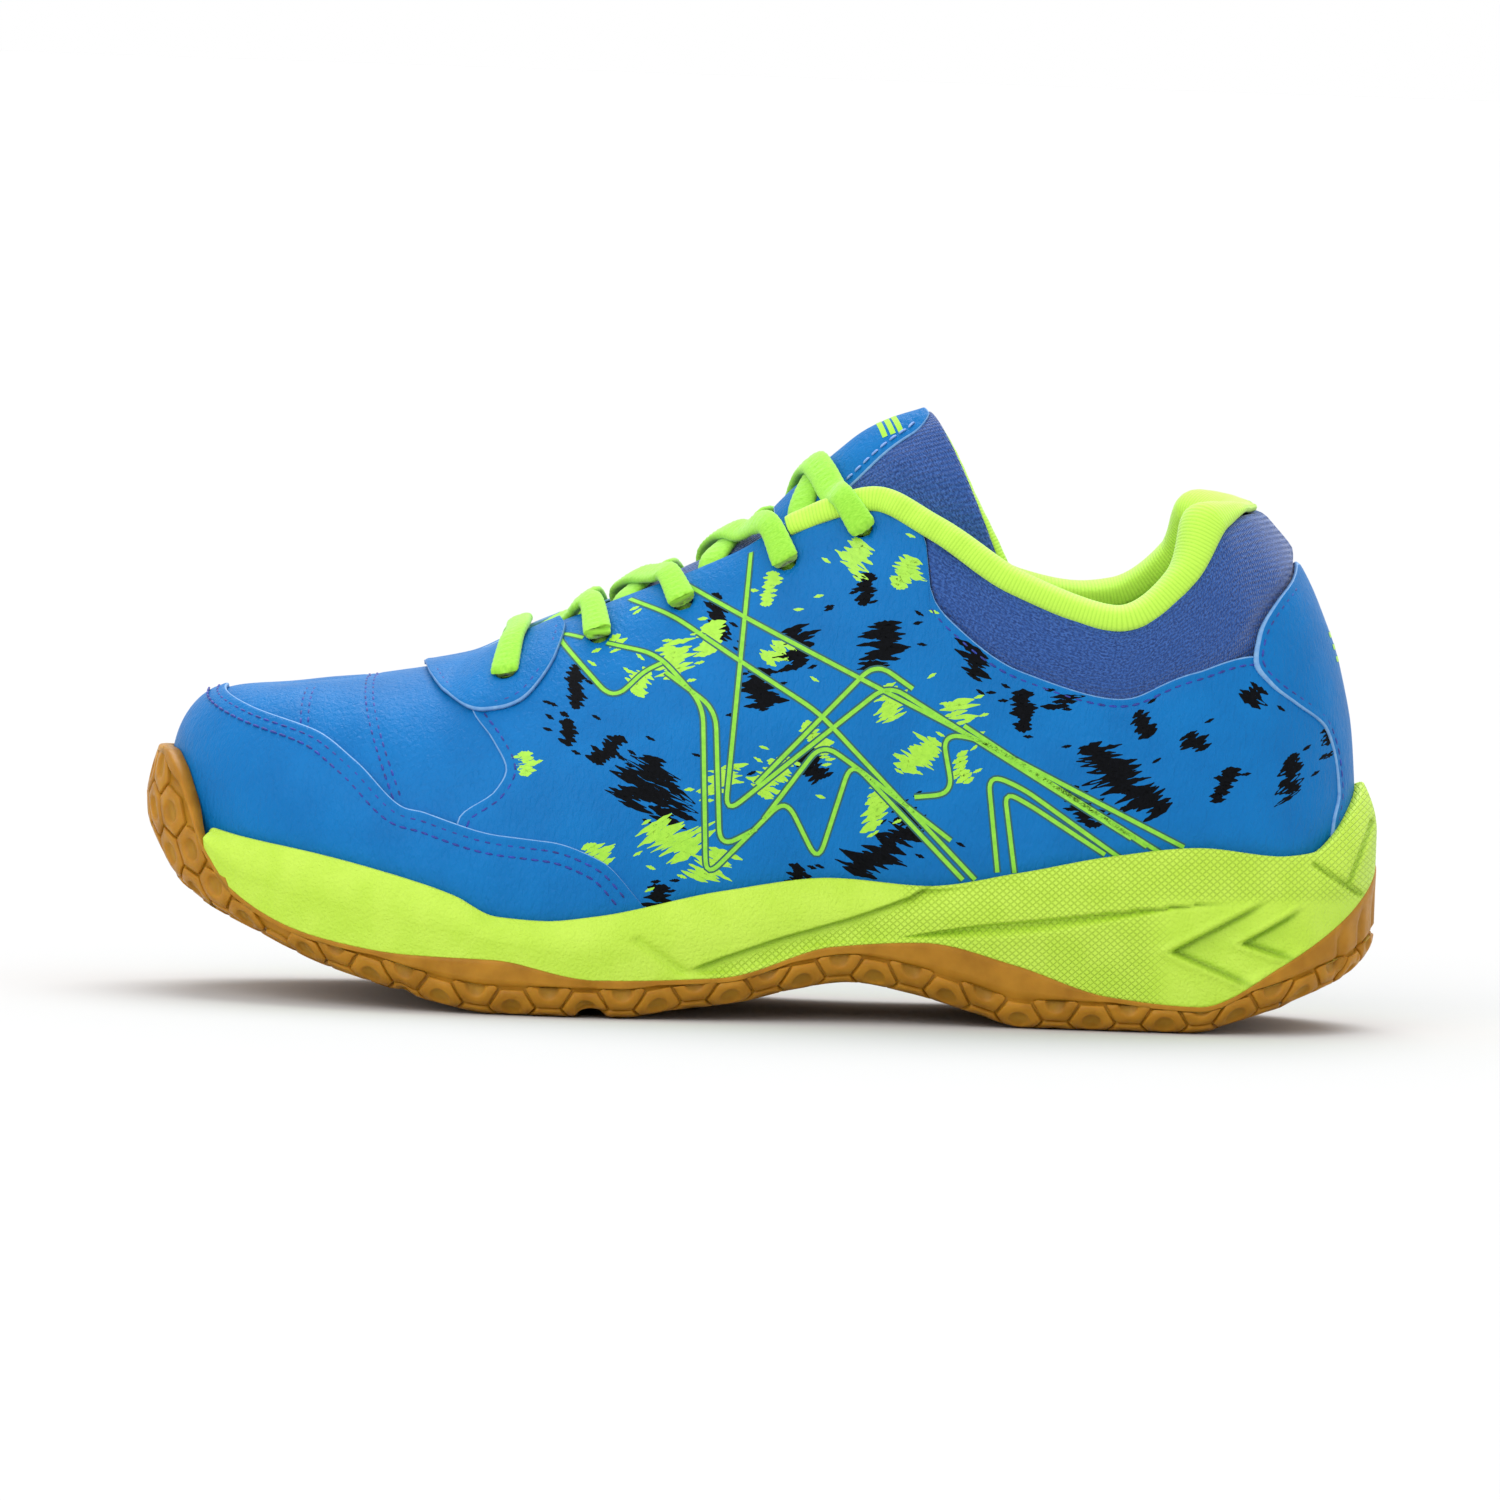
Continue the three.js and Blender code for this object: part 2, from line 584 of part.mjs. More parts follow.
// U-shaped piece round the foot of the throat, over both quarters and the vamp.
function throatOverlay() {
  const outline = polyline(THROAT_OVERLAY);
  const [[first], [end]] = [THROAT_OVERLAY[0], THROAT_OVERLAY[THROAT_OVERLAY.length - 1]];
  const patches = upperPatches(range(0, 1, 14), range(0, 1, 4), (u, v) => {
    const [s, t] = outline(u);
    return [THREE.MathUtils.lerp(s, first + u * (end - first), v), THREE.MathUtils.lerp(t, 1, v)];
  });
  const blank = sheet(patches, THROAT.outer, THROAT.inner);
  return subtract(blank, SIDES.flatMap((side) => eyeletCutters(side).slice(0, 1)));
}

// Reinforcement behind the eyelets.
function eyestayBacker(side) {
  const lower = smoothCurve([[4.4, 0.55], [6, 0.72], [8.6, 0.8]]);
  const shape = upperPatch(side, range(4.55, 8.6, 8), range(0, 1, 3),
    (s, v) => [s, THREE.MathUtils.lerp(lower(s), 0.965, v)]);
  return subtract(sheet([shape], STIFFENER.outer, STIFFENER.inner), eyeletCutters(side));
}

function heelPanel() {
  const rows = [0, 0.1, ...HEEL_PANEL_FRONT.slice(1).map(([t]) => t)];
  const patches = upperPatches(range(0, 1, 5), rows, (u, t) => {
    const front = heelPanelFront(t);
    return [front + u * (HEEL - front), t];
  });
  return sheet(patches, OVERLAY.outer, OVERLAY.inner + 0.25);
}

function heelCounter() {
  const patches = upperPatches(range(11.8, HEEL, 7), range(0, 0.46, 4), (s, t) => [s, t]);
  return sheet(patches, STIFFENER.outer, STIFFENER.inner);
}

function collarPanel(side) {
  const heelGap = 0.04;
  const shape = upperPatch(side, range(COLLAR_FRONT, HEEL - heelGap, 12), range(0, 1, 3),
    (s, v) => [s, THREE.MathUtils.lerp(quarterTop(s) + COLLAR_SEAM, COLLAR_TOP, v)]);
  return sheet([shape], SHELL.outer, SHELL.inner);
}

function collarFoam() {
  const patches = upperPatches(range(10, HEEL, 10), range(0.62, COLLAR_TOP - 0.02, 4), (s, t) => [s, t]);
  return sheet(patches, STIFFENER.outer, ({ s, t }) => -liningDepth(s, t) + 2 * FIT);
}

// Lining of both quarters in one piece: it rises to the collar behind, and stops short of the
// eyelets in front.
function quarterLining() {
  const top = smoothCurve([[4.4, 0.5], [5, 0.6], [6, 0.64], [8, 0.6], [8.7, 0.66], [9.1, 0.82],
    [9.6, COLLAR_TOP], [15, COLLAR_TOP]]);
  const patches = upperPatches(range(4.4, HEEL, 21), ROWS, (s, v) => [s, v * top(s)]);
  return sheet(patches, ({ s, t }) => -liningDepth(s, t),
    ({ s, t }) => -liningDepth(s, t) - LINING_THICKNESS);
}

// Folded tape over the collar's edge.
function collarBinding() {
  const stations = range(BINDING_FRONT, HEEL, 13);
  const places = [
    ...stations.map((s) => [LATERAL, s]),
    ...stations.slice(0, -1).reverse().map((s) => [MEDIAL, s]),
  ];
  const frames = framesAlong(places.map(([side, s]) => surfacePoint(side, s, 1)),
    places.map(([side, s]) => surfaceNormal(side, s, 0.97)));
  const tape = BINDING_THICKNESS;
  return sweep(frames, (i) => {
    const [, s] = places[i];
    const outer = SHELL.outer + FIT;
    const inner = -liningDepth(s, 1) - LINING_THICKNESS - FIT;
    const middle = (outer + inner) / 2;
    return [
      [-5.5, outer + tape], [-5.5, outer], [-1.7, outer], [-0.6, middle], [-1.7, inner], [-5.5, inner],
      [-5.5, inner - tape], [-1, inner - tape], [0.5, middle], [-1, outer + tape],
    ];
  });
}

// ---------------------------------------------------------------- tongue

const tongueCurve = Object.fromEntries(['x', 'z', 'lateral', 'medial', 'drop', 'sweep'].map(
  (key) => [key, smoothCurve(TONGUE.map((station, i) => [i, station[key]]))]));

// Outside of the tongue: a from 0 at its sewn base to 6 at its top, b from -1 to 1 across it.
function tonguePoint(a, b) {
  const turn = Math.abs(b) * TONGUE_TURN;
  const fall = 1 - Math.cos(turn);
  const half = b < 0 ? tongueCurve.lateral(a) : tongueCurve.medial(a);
  return vec(
    tongueCurve.x(a) + tongueCurve.sweep(a) * fall,
    ridgeY(4 + 0.8 * a) + Math.sign(b) * half * Math.sin(turn),
    tongueCurve.z(a) - tongueCurve.drop(a) * fall ** 0.9,
  );
}

function tongueNormal(a, b) {
  const step = 0.01;
  const a0 = THREE.MathUtils.clamp(a, 0.02, TONGUE_END - 0.02);
  const along = tonguePoint(a0 + step, b).sub(tonguePoint(a0 - step, b));
  const across = tonguePoint(a0, b + step).sub(tonguePoint(a0, b - step));
  return along.cross(across).normalize();
}

function tongueSheet(from, to, half, outer, inner) {
  const shape = patch(range(from, to, 8), range(-half, half, 8),
    (a, b) => ({ point: tonguePoint(a, b), b }));
  return sheet([shape], outer, inner);
}

const tongueDepth = ({ b }) => 7 - 3.2 * Math.abs(b) ** 3;
const tongueFace = () => tongueSheet(0.3, 5.85, TONGUE_FACE_HALF, 0, -0.9);
const tongueKnit = () => tongueSheet(0, TONGUE_END, 1, -1.5, -2.3);
const tongueFoam = () => tongueSheet(0.4, 5.85, 0.95, -3, (place) => FIT - tongueDepth(place));
const tongueLining = () => tongueSheet(0, TONGUE_END, 1, (place) => -tongueDepth(place) - GAP,
  (place) => -tongueDepth(place) - GAP - 0.8);

function tongueBinding() {
  const places = range(-0.96, 0.96, 12);
  const points = places.map((b) => {
    const rearward = tonguePoint(TONGUE_END, b).sub(tonguePoint(TONGUE_END - 0.05, b)).normalize();
    return tonguePoint(TONGUE_END, b).addScaledVector(rearward, 2);
  });
  const frames = framesAlong(points, places.map((b) => tongueNormal(TONGUE_END, b)));
  return sweep(frames, (i) => {
    const low = -tongueDepth({ b: places[i] }) - 1.2;
    return [[-1.2, low], [1.2, low], [1.4, low / 2], [1.2, -0.6], [-1.2, -0.6]];
  });
}

// ---------------------------------------------------------------- lace

// Tongue point and normal under a point in plan.
function tongueUnder(x, y) {
  let [a, b] = [3, 0];
  for (let i = 0; i < 30; i += 1) {
    const here = tonguePoint(a, b);
    const perA = tonguePoint(a + 0.01, b).sub(here).multiplyScalar(100);
    const perB = tonguePoint(a, b + 0.01).sub(here).multiplyScalar(100);
    const det = perA.x * perB.y - perB.x * perA.y;
    a += 0.7 * ((x - here.x) * perB.y - perB.x * (y - here.y)) / det;
    b += 0.7 * (perA.x * (y - here.y) - perA.y * (x - here.x)) / det;
    a = THREE.MathUtils.clamp(a, 0, TONGUE_END);
    b = THREE.MathUtils.clamp(b, -0.95, 0.95);
  }
  return { point: tonguePoint(a, b), normal: tongueNormal(a, b) };
}

const LACE_INSIDE = -4.2;
const LACE_OUTSIDE = 3;
const LACE_LOW = 2.3;
const LACE_HIGH = 4.4;

// A stop of the lace's route: where it is, which way its flat face looks, and how wide it is there.
function onUpper(side, s, t, out, width = LACE_WIDTH) {
  const normal = surfaceNormal(side, s, t);
  return { point: surfacePoint(side, s, t).addScaledVector(normal, out), out: normal, width };
}

function onTongue(point, lift) {
  const under = tongueUnder(point.x, point.y);
  return { point: under.point.addScaledVector(under.normal, lift), out: under.normal, width: LACE_WIDTH };
}

const eyeletStop = (side, i, out, width) => onUpper(side, ...EYELETS[i], out, width);

// Down through an eyelet, from above it to below it.
function throughEyelet(side, i) {
  return [
    eyeletStop(side, i, LACE_OUTSIDE, LACE_WIDTH_IN_HOLE),
    eyeletStop(side, i, LACE_OUTSIDE / 2, LACE_WIDTH_IN_HOLE),
    eyeletStop(side, i, LACE_INSIDE / 2, LACE_WIDTH_IN_HOLE),
    eyeletStop(side, i, LACE_INSIDE, LACE_WIDTH_IN_HOLE),
  ];
}

// From the inside at one eyelet, out over the tongue, to above the next one opposite.
function crossing(side, i, lift) {
  const [fromS, toS] = [EYELETS[i][0] + 0.1, EYELETS[i + 1][0] - 0.12];
  const from = surfacePoint(side, fromS, 1);
  const to = surfacePoint(-side, toS, 1);
  const between = [0.2, 0.35, 0.5, 0.67, 0.84].map((fraction) => onTongue(from.clone().lerp(to, fraction), lift));
  const over = between[between.length - 1].point;
  over.z = Math.max(over.z, to.z + LACE_OUTSIDE);
  return [
    onUpper(side, fromS, 0.985, LACE_INSIDE - 0.3, 5),
    ...between,
    onUpper(-side, toS, 0.995, LACE_OUTSIDE + 0.4, 6),
  ];
}

// Half of the lace, from beside the middle of the straight bar below to the tail beside the tongue.
function halfLace(startSide, lifts) {
  const stops = [
    onUpper(startSide, EYELETS[0][0], 0.985, LACE_OUTSIDE),
    onUpper(startSide, EYELETS[0][0], 0.85, LACE_OUTSIDE),
    ...throughEyelet(startSide, 0),
  ];
  let side = startSide;
  lifts.forEach((lift, i) => {
    stops.push(...crossing(side, i, lift), ...throughEyelet(-side, i + 1));
    side = -side;
  });
  const tail = [[8.3, 0.8, -4.4, 5], [8, 0.7, -5.2, 6], [7.4, 0.54, -6.9, 6], [6.8, 0.48, -7.1, 4]];
  stops.push(...tail.map(([s, t, depth, width]) => onUpper(side, s, t, depth, width)));
  return stops;
}

// The bar's crown, above the foot of the throat.
function barCrown() {
  const [left, right] = SIDES.map((side) => onUpper(side, EYELETS[0][0], 0.985, LACE_OUTSIDE).point);
  const point = left.add(right).multiplyScalar(0.5).add(vec(0, 0, 2.2));
  return { point, out: vec(-0.4, 0, 1).normalize(), width: LACE_WIDTH };
}

const laceStops = [
  ...halfLace(LATERAL, [LACE_LOW, LACE_HIGH, LACE_LOW, LACE_HIGH]).reverse(),
  barCrown(),
  ...halfLace(MEDIAL, [LACE_HIGH, LACE_LOW, LACE_HIGH, LACE_LOW]),
];

function lace() {
  const frames = framesAlong(laceStops.map((stop) => stop.point), laceStops.map((stop) => stop.out));
  return sweep(frames, (i) => {
    const [half, thick] = [laceStops[i].width / 2, LACE_THICKNESS / 2];
    return [[half, 0], [half * 0.7, thick], [-half * 0.7, thick], [-half, 0], [-half * 0.7, -thick],
      [half * 0.7, -thick]];
  });
}

const AGLET = { length: 18, radius: 1.5 };

// Stiff tip on each end of the lace.
function aglet(end) {
  const stops = end === LATERAL ? laceStops.slice(0, 2) : laceStops.slice(-2).reverse();
  const forward = stops[0].point.clone().sub(stops[1].point).normalize();
  const tip = new THREE.CylinderGeometry(AGLET.radius, AGLET.radius, AGLET.length, 8);
  tip.applyQuaternion(new THREE.Quaternion().setFromUnitVectors(vec(0, 1, 0), forward));
  const centre = stops[0].point.clone().addScaledVector(forward, AGLET.length / 2 + GAP);
  tip.translate(...centre.toArray());
  return welded(tip);
}

// ---------------------------------------------------------------- assembly

const material = (color, roughness, metalness = 0) => new THREE.MeshStandardMaterial(
  { color, roughness, metalness });

const MATERIALS = {
  gumRubber: material('#c08426', 0.55),
  limeFoam: material('#bdf53a', 0.6),
  blueLeather: material('#1b7fcb', 0.42),
  blueKnit: material('#2f55b4', 0.85),
  limeMesh: material('#b4ee35', 0.85),
  limeTape: material('#c3f54a', 0.75),
  limeLace: material('#bdf53a', 0.8),
  stiffener: material('#d9d6cc', 0.7),
  foam: material('#e6e3d6', 0.9),
  shankPlastic: material('#1a1c20', 0.4),
  board: material('#cfc7b0', 0.85),
  clearTip: material('#c8f26a', 0.3),
};

const shoe = new THREE.Group();

function place(name, geometry, look) {
  const mesh = new THREE.Mesh(geometry, look);
  mesh.name = name;
  shoe.add(mesh);
}

place('outsole', outsole(), MATERIALS.gumRubber);
place('midsole', midsole(), MATERIALS.limeFoam);
place('shank_plate', shankPlate(), MATERIALS.shankPlastic);
place('lasting_board', lastingBoard(), MATERIALS.board);
place('sockliner_foam', socklinerFoam(), MATERIALS.foam);
place('sockliner_cover', socklinerCover(), MATERIALS.limeMesh);
place('toe_cap', toeCap(), MATERIALS.blueLeather);
place('vamp', vamp(), MATERIALS.blueLeather);
place('toe_puff', toePuff(), MATERIALS.stiffener);
place('vamp_lining', vampLining(), MATERIALS.limeMesh);
place('throat_overlay', throatOverlay(), MATERIALS.blueLeather);
place('heel_panel', heelPanel(), MATERIALS.blueLeather);
place('heel_counter', heelCounter(), MATERIALS.stiffener);
place('collar_foam', collarFoam(), MATERIALS.foam);
place('quarter_lining', quarterLining(), MATERIALS.limeMesh);
place('collar_binding', collarBinding(), MATERIALS.limeTape);
for (const side of SIDES) {
  place(`quarter_${SIDE_NAME[side]}`, quarter(side), MATERIALS.blueLeather);
  place(`collar_panel_${SIDE_NAME[side]}`, collarPanel(side), MATERIALS.blueKnit);
  place(`eyestay_backer_${SIDE_NAME[side]}`, eyestayBacker(side), MATERIALS.stiffener);
  place(`aglet_${SIDE_NAME[side]}`, aglet(side), MATERIALS.clearTip);
}
place('tongue_face', tongueFace(), MATERIALS.blueLeather);
place('tongue_knit', tongueKnit(), MATERIALS.blueKnit);
place('tongue_foam', tongueFoam(), MATERIALS.foam);
place('tongue_lining', tongueLining(), MATERIALS.limeMesh);
place('tongue_binding', tongueBinding(), MATERIALS.limeTape);
place('lace', lace(), MATERIALS.limeLace);

export default shoe;
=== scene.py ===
"""Looks of a left court shoe, size 41, laid over its CAD frame.

The shape's own numbers are millimetres in the CAD frame: toe to -X, lateral side to -Y, tread on Z = 0.
Everything in the upper lies on one reference surface. A place on it is (q, t): q runs round the shoe,
0 at the toe tip, -15 at the heel by the lateral side and +15 by the medial side, and t runs from 0 at
the feather line to 1 at the upper's top edge. s is the station, q without its sign.
"""

import math

import bpy
import numpy as np
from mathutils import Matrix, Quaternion, Vector
from mathutils.bvhtree import BVHTree
from mathutils.kdtree import KDTree


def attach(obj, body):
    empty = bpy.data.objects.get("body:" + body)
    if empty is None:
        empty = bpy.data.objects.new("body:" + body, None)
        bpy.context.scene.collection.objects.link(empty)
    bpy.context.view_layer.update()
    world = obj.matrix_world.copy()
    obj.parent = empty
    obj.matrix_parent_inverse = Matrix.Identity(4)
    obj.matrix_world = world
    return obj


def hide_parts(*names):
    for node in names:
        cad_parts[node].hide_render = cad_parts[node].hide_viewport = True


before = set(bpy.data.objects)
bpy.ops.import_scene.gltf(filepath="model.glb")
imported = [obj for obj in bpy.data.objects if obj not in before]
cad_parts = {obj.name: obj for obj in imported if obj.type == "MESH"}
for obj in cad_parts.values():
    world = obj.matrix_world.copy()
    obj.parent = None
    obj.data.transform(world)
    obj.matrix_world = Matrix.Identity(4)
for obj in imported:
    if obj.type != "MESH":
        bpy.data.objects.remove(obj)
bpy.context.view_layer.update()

MM = 0.001
HEEL = 15
STATION_LENGTH = 21.5  # one station round the shoe, on average
UPPER_RISE = 75  # the upper's height, on average
LATERAL = -1
MEDIAL = 1
SIDES = {"lateral": LATERAL, "medial": MEDIAL}

# ---------------------------------------------------------------- driving dimensions

# Pairs are (x, y) for the feather lines, (x, z) for the bed and the tread, (s, t) for the eyelets and the
# edges of panels, but (t, s) for QUARTER_FRONT and HEEL_PANEL_FRONT, and (s, value) for the rest.
FEATHER_LATERAL = [(-138.5, 9), (-134, -7), (-121, -22), (-101, -34), (-80, -42), (-61, -45.5), (-38, -46),
                   (-10, -42), (16, -37), (38, -34.5), (60, -33.5), (82, -33.5), (102, -32.5), (120, -27),
                   (133, -16), (138.5, 0)]
FEATHER_MEDIAL = [(-138.5, 9), (-134, 24), (-121, 35.5), (-101, 43), (-80, 46.5), (-61, 46), (-38, 41),
                  (-10, 33.5), (16, 29.5), (38, 29.5), (60, 31), (82, 32.5), (102, 31.5), (120, 26.5),
                  (133, 15.5), (138.5, 0)]
TOP_X = [(0, -112), (1, -108), (2, -99), (3, -86), (4, -69), (5, -54), (6, -35), (7, -9), (8, 10),
         (8.5, 24), (9, 38), (10, 58), (11, 81), (12, 95), (13, 103), (14, 110.5), (15, 113)]
TOP_Z_LATERAL = [(0, 72.7), (1, 73), (2, 74.5), (3, 76.8), (4, 80.5), (5, 87.9), (6, 96.1), (7, 107.7),
                 (8, 119.3), (8.5, 123.4), (9, 117.5), (10, 105.3), (11, 98), (12, 108), (13, 121.5),
                 (14, 124), (15, 124)]
TOP_Z_MEDIAL = [(0, 72.7), (1, 73), (2, 74.5), (3, 76.8), (4, 80.5), (5, 87.9), (6, 96.1), (7, 107.7),
                (8, 119.3), (8.5, 123.4), (9, 116.5), (10, 103.5), (10.6, 101), (11, 102), (12, 112),
                (13, 123), (14, 124.5), (15, 124)]
RIDGE_Y = [(0, 8), (2, 7), (4, 5), (6, 3), (8, 1), (9, 0), (15, 0)]
HALF_GAP = [(0, 0), (4, 0), (4.4, 8), (5, 10.5), (6, 12), (7, 14.5), (8, 18), (8.5, 20.5), (9, 24),
            (10, 29.5), (11, 31.5), (12, 29), (13, 22.5), (14, 12), (15, 0)]
EXPONENT_UP = [(0, 4.4), (1, 4.1), (2, 3.3), (3, 2.6), (4, 2.3), (6, 2.1), (8, 2.2), (10, 2.6), (12, 2.8),
               (15, 3)]
EXPONENT_IN = [(0, 3.8), (1, 3.4), (2, 2.7), (3, 2.3), (4, 2.0), (5, 1.6), (6, 1.4), (8, 1.2), (9, 1.0),
               (15, 1.0)]
SWELL = [(0, 1.4), (1, 1.5), (3, 1.6), (6, 1.5), (9, 0.5), (12, 1.2), (15, 0.5)]
BED_Z = [(-138.5, 33), (-134, 32), (-121, 28.6), (-101, 24), (-80, 20), (-61, 18), (-38, 18), (-10, 21),
         (16, 25), (38, 28), (60, 30), (82, 31), (138.5, 31)]
TREAD_Z = [(-145, 39), (-138, 26.4), (-131, 21.6), (-117, 15.5), (-103, 9.6), (-89, 5.6), (-75, 1.9),
           (-62, 0), (-32, 0), (-19, 2.1), (-5, 4), (8, 7.3), (22, 9.4), (36, 7.1), (51, 2.9), (62, 0),
           (102, 0), (114, 3.2), (121, 5.3), (129, 8.8), (137, 13), (142, 19), (145, 34)]
OUTSOLE_TOP = [(0, 57), (0.6, 56.5), (1, 53), (1.4, 43), (1.7, 34), (2, 26.5), (3, 16.2), (4, 13.2),
               (5, 12.9), (6, 9), (7, 10.2), (8, 18), (9, 19.5), (10, 14.8), (11, 8.2), (12, 6.5),
               (13, 16.6), (14, 28), (15, 39)]
MIDSOLE_RIM = [(0, 42), (1, 41), (2, 38), (3, 34.8), (4, 30), (4.5, 27), (5, 22.6), (5.5, 22), (6, 23.5),
               (7, 30), (8, 33.7), (9, 32.4), (10, 36.1), (11, 40.8), (12, 43.3), (13, 41.6),
               (13.5, 42.4), (14, 47.3), (14.5, 53.6), (15, 58)]
TOE_CAP_EDGE = [(0, 0.61), (1.6, 0.47), (2.64, 0.4), (3.19, 0.32), (3.86, 0.22), (5.5, 0.21), (6.02, 0.17),
                (6.35, 0.08), (6.46, 0.04)]
QUARTER_FRONT = [(0, 4.5), (0.22, 4.53), (0.32, 4.97), (0.37, 5.06), (0.45, 4.84), (0.52, 4.5), (0.6, 4.35),
                 (1, 4.3)]
QUARTER_TOP = [(4, 1), (8.3, 1), (8.6, 0.965), (8.88, 0.955), (8.98, 0.8), (9.24, 0.75), (10.01, 0.7),
               (11.11, 0.69), (11.56, 0.7), (12.16, 0.68), (12.8, 0.64), (13.4, 0.6), (15, 0.6)]
THROAT_OVERLAY = [(3.3, 1), (3.37, 0.92), (3.63, 0.7), (4.03, 0.55), (4.43, 0.52), (4.75, 0.54),
                  (5.05, 0.58), (5.23, 0.65), (5.37, 0.76), (5.41, 0.89), (5.29, 1)]
HEEL_PANEL_FRONT = [(0, 13.9), (0.2, 14.02), (0.27, 14.17), (0.34, 14.13), (0.43, 13.92), (0.5, 13.38),
                    (0.56, 12.99), (0.62, 12.81), (0.69, 12.97), (0.76, 13.49), (0.81, 14.23), (0.84, 14.8)]
EYELETS = [(4.77, 0.69), (5.82, 0.82), (6.57, 0.86), (7.61, 0.86), (8.36, 0.9)]
EYELET_RADIUS = 2.7
# The tongue at seven places from its sewn base to its top: where its ridge is, how wide it is to each side,
# and how far its sides fall below the ridge and lean back from it.
TONGUE = {
    "x": (-72, -50, -28, -6, 10, 24, 35.5),
    "z": (72.2, 87.2, 100.6, 112.7, 127.6, 138.7, 143.2),
    "lateral": (19, 20, 21, 21.5, 21.5, 21, 20.5),
    "medial": (18, 17.5, 16.5, 16.5, 17.5, 19, 19),
    "drop": (7, 13, 20, 27, 35, 39, 39),
    "sweep": (0, 0, 0, 0, 5, 12, 19),
}
TONGUE_END = 6
TONGUE_TURN = math.radians(95)
TONGUE_FACE_HALF = 0.42
TONGUE_STEP = 21
TONGUE_HALF_GIRTH = 36
LINING_DEPTH = 3.8
COLLAR_PADDING = 6.2
OUTSOLE_THICKNESS = 4
BINDING_FRONT = 7.66

# How far each visible skin stands off the reference surface.
VAMP_SKIN = -0.45
QUARTER_SKIN = 0.15
OVERLAY_SKIN = 0.8
THROAT_SKIN = 1.35
KNIT_SKIN = -0.35
STIFFENER_OUT = -2.35
STIFFENER_IN = -3.1
OVERLAY_BACK = -0.2
PADDING_OUT = -2.4
ROW_SUNK = 0.15
VAMP_LINING_OUT = -3.8
VAMP_LINING_IN = -4.7
WALL_OUT = 6.4
BUMPER_OUT = 4.4

STITCH_PITCH = 2.7
STITCH_LENGTH = 2.1
STITCH_RADIUS = 0.29
# One stitch's rings: share of its length, share of its radius, height over the leather.
STITCH_RINGS = [(-0.5, 0.15, -0.4), (-0.42, 0.75, -0.24), (-0.2, 1, -0.13), (0.2, 1, -0.13),
                (0.42, 0.75, -0.24), (0.5, 0.15, -0.4)]
STITCH_SIDES = 6
GROOVE_DEPTH = 0.3
GROOVE_WIDTH = 0.9


# ---------------------------------------------------------------- curves and the reference surface

def smooth_curve(points):
    """Smooth curve through (x, y) points that never overshoots them."""
    xs, ys = np.array(points, float).T
    steps = np.diff(xs)
    slopes = np.diff(ys) / steps
    tangents = np.zeros(len(xs))
    tangents[0] = slopes[0]
    tangents[-1] = slopes[-1]
    for i in range(1, len(xs) - 1):
        if slopes[i - 1] * slopes[i] > 0:
            before = 2 * steps[i] + steps[i - 1]
            after = steps[i] + 2 * steps[i - 1]
            tangents[i] = (before + after) / (before / slopes[i - 1] + after / slopes[i])

    def value(x):
        x = np.clip(np.asarray(x, float), xs[0], xs[-1])
        i = np.clip(np.searchsorted(xs, x, side="right") - 1, 0, len(steps) - 1)
        h = steps[i]
        u = (x - xs[i]) / h
        return ((1 + 2 * u) * (1 - u) ** 2 * ys[i] + u * (1 - u) ** 2 * h * tangents[i]
                + u * u * (3 - 2 * u) * ys[i + 1] - u * u * (1 - u) * h * tangents[i + 1])

    return value


def smoothstep(x, low, high):
    u = np.clip((np.asarray(x, float) - low) / (high - low), 0, 1)
    return u * u * (3 - 2 * u)


def lerp(a, b, u):
    return a + (b - a) * u


def unit(vectors):
    return vectors / np.maximum(np.linalg.norm(vectors, axis=-1, keepdims=True), 1e-9)


def catmull_rom(a, b, c, d, w):
    """Point at share w of the way from b to c, on a curve through a, b, c and d."""
    return b + 0.5 * w * (c - a + w * (2 * a - 5 * b + 4 * c - d + w * (3 * (b - c) + d - a)))


def length_along(points):
    """Length from a line's start to each of its points."""
    return np.concatenate([[0], np.cumsum(np.linalg.norm(np.diff(points, axis=0), axis=1))])


def resampled(values, length, at):
    """Values at other lengths along their line."""
    return np.stack([np.interp(at, length, column) for column in values.T], -1)


top_x = smooth_curve(TOP_X)
ridge_y = smooth_curve(RIDGE_Y)
half_gap = smooth_curve(HALF_GAP)
top_z_lateral = smooth_curve(TOP_Z_LATERAL)
top_z_medial = smooth_curve(TOP_Z_MEDIAL)
exponent_up = smooth_curve(EXPONENT_UP)
exponent_in = smooth_curve(EXPONENT_IN)
swell = smooth_curve(SWELL)
bed_z = smooth_curve(BED_Z)
tread_z = smooth_curve(TREAD_Z)
outsole_top = smooth_curve(OUTSOLE_TOP)
midsole_rim = smooth_curve(MIDSOLE_RIM)
toe_cap_edge = smooth_curve(TOE_CAP_EDGE)
quarter_front = smooth_curve(QUARTER_FRONT)
quarter_top = smooth_curve(QUARTER_TOP)
heel_panel_front = smooth_curve(HEEL_PANEL_FRONT)
LOOP = np.array(FEATHER_LATERAL + FEATHER_MEDIAL[1:-1][::-1], float)


def fold(q):
    """Side and station of a place q, which may run on past the heel."""
    q = np.asarray(q, float)
    side = np.where(q < 0, -1.0, 1.0)
    s = np.abs(q)
    return np.where(s > HEEL, -side, side), np.where(s > HEEL, 2 * HEEL - s, s)


def feather_point(q):
    """Plan point of the feather line, on a closed Catmull-Rom curve."""
    place = (-np.asarray(q, float)) % len(LOOP)
    i = np.floor(place).astype(int)
    w = (place - i)[..., None]
    return catmull_rom(*(LOOP[(i + k) % len(LOOP)] for k in (-1, 0, 1, 2)), w)


def outward(q):
    """Horizontal direction out of the shoe at the feather line."""
    along = feather_point(q - 0.05) - feather_point(q + 0.05)
    return unit(np.stack([along[..., 1], -along[..., 0]], -1))


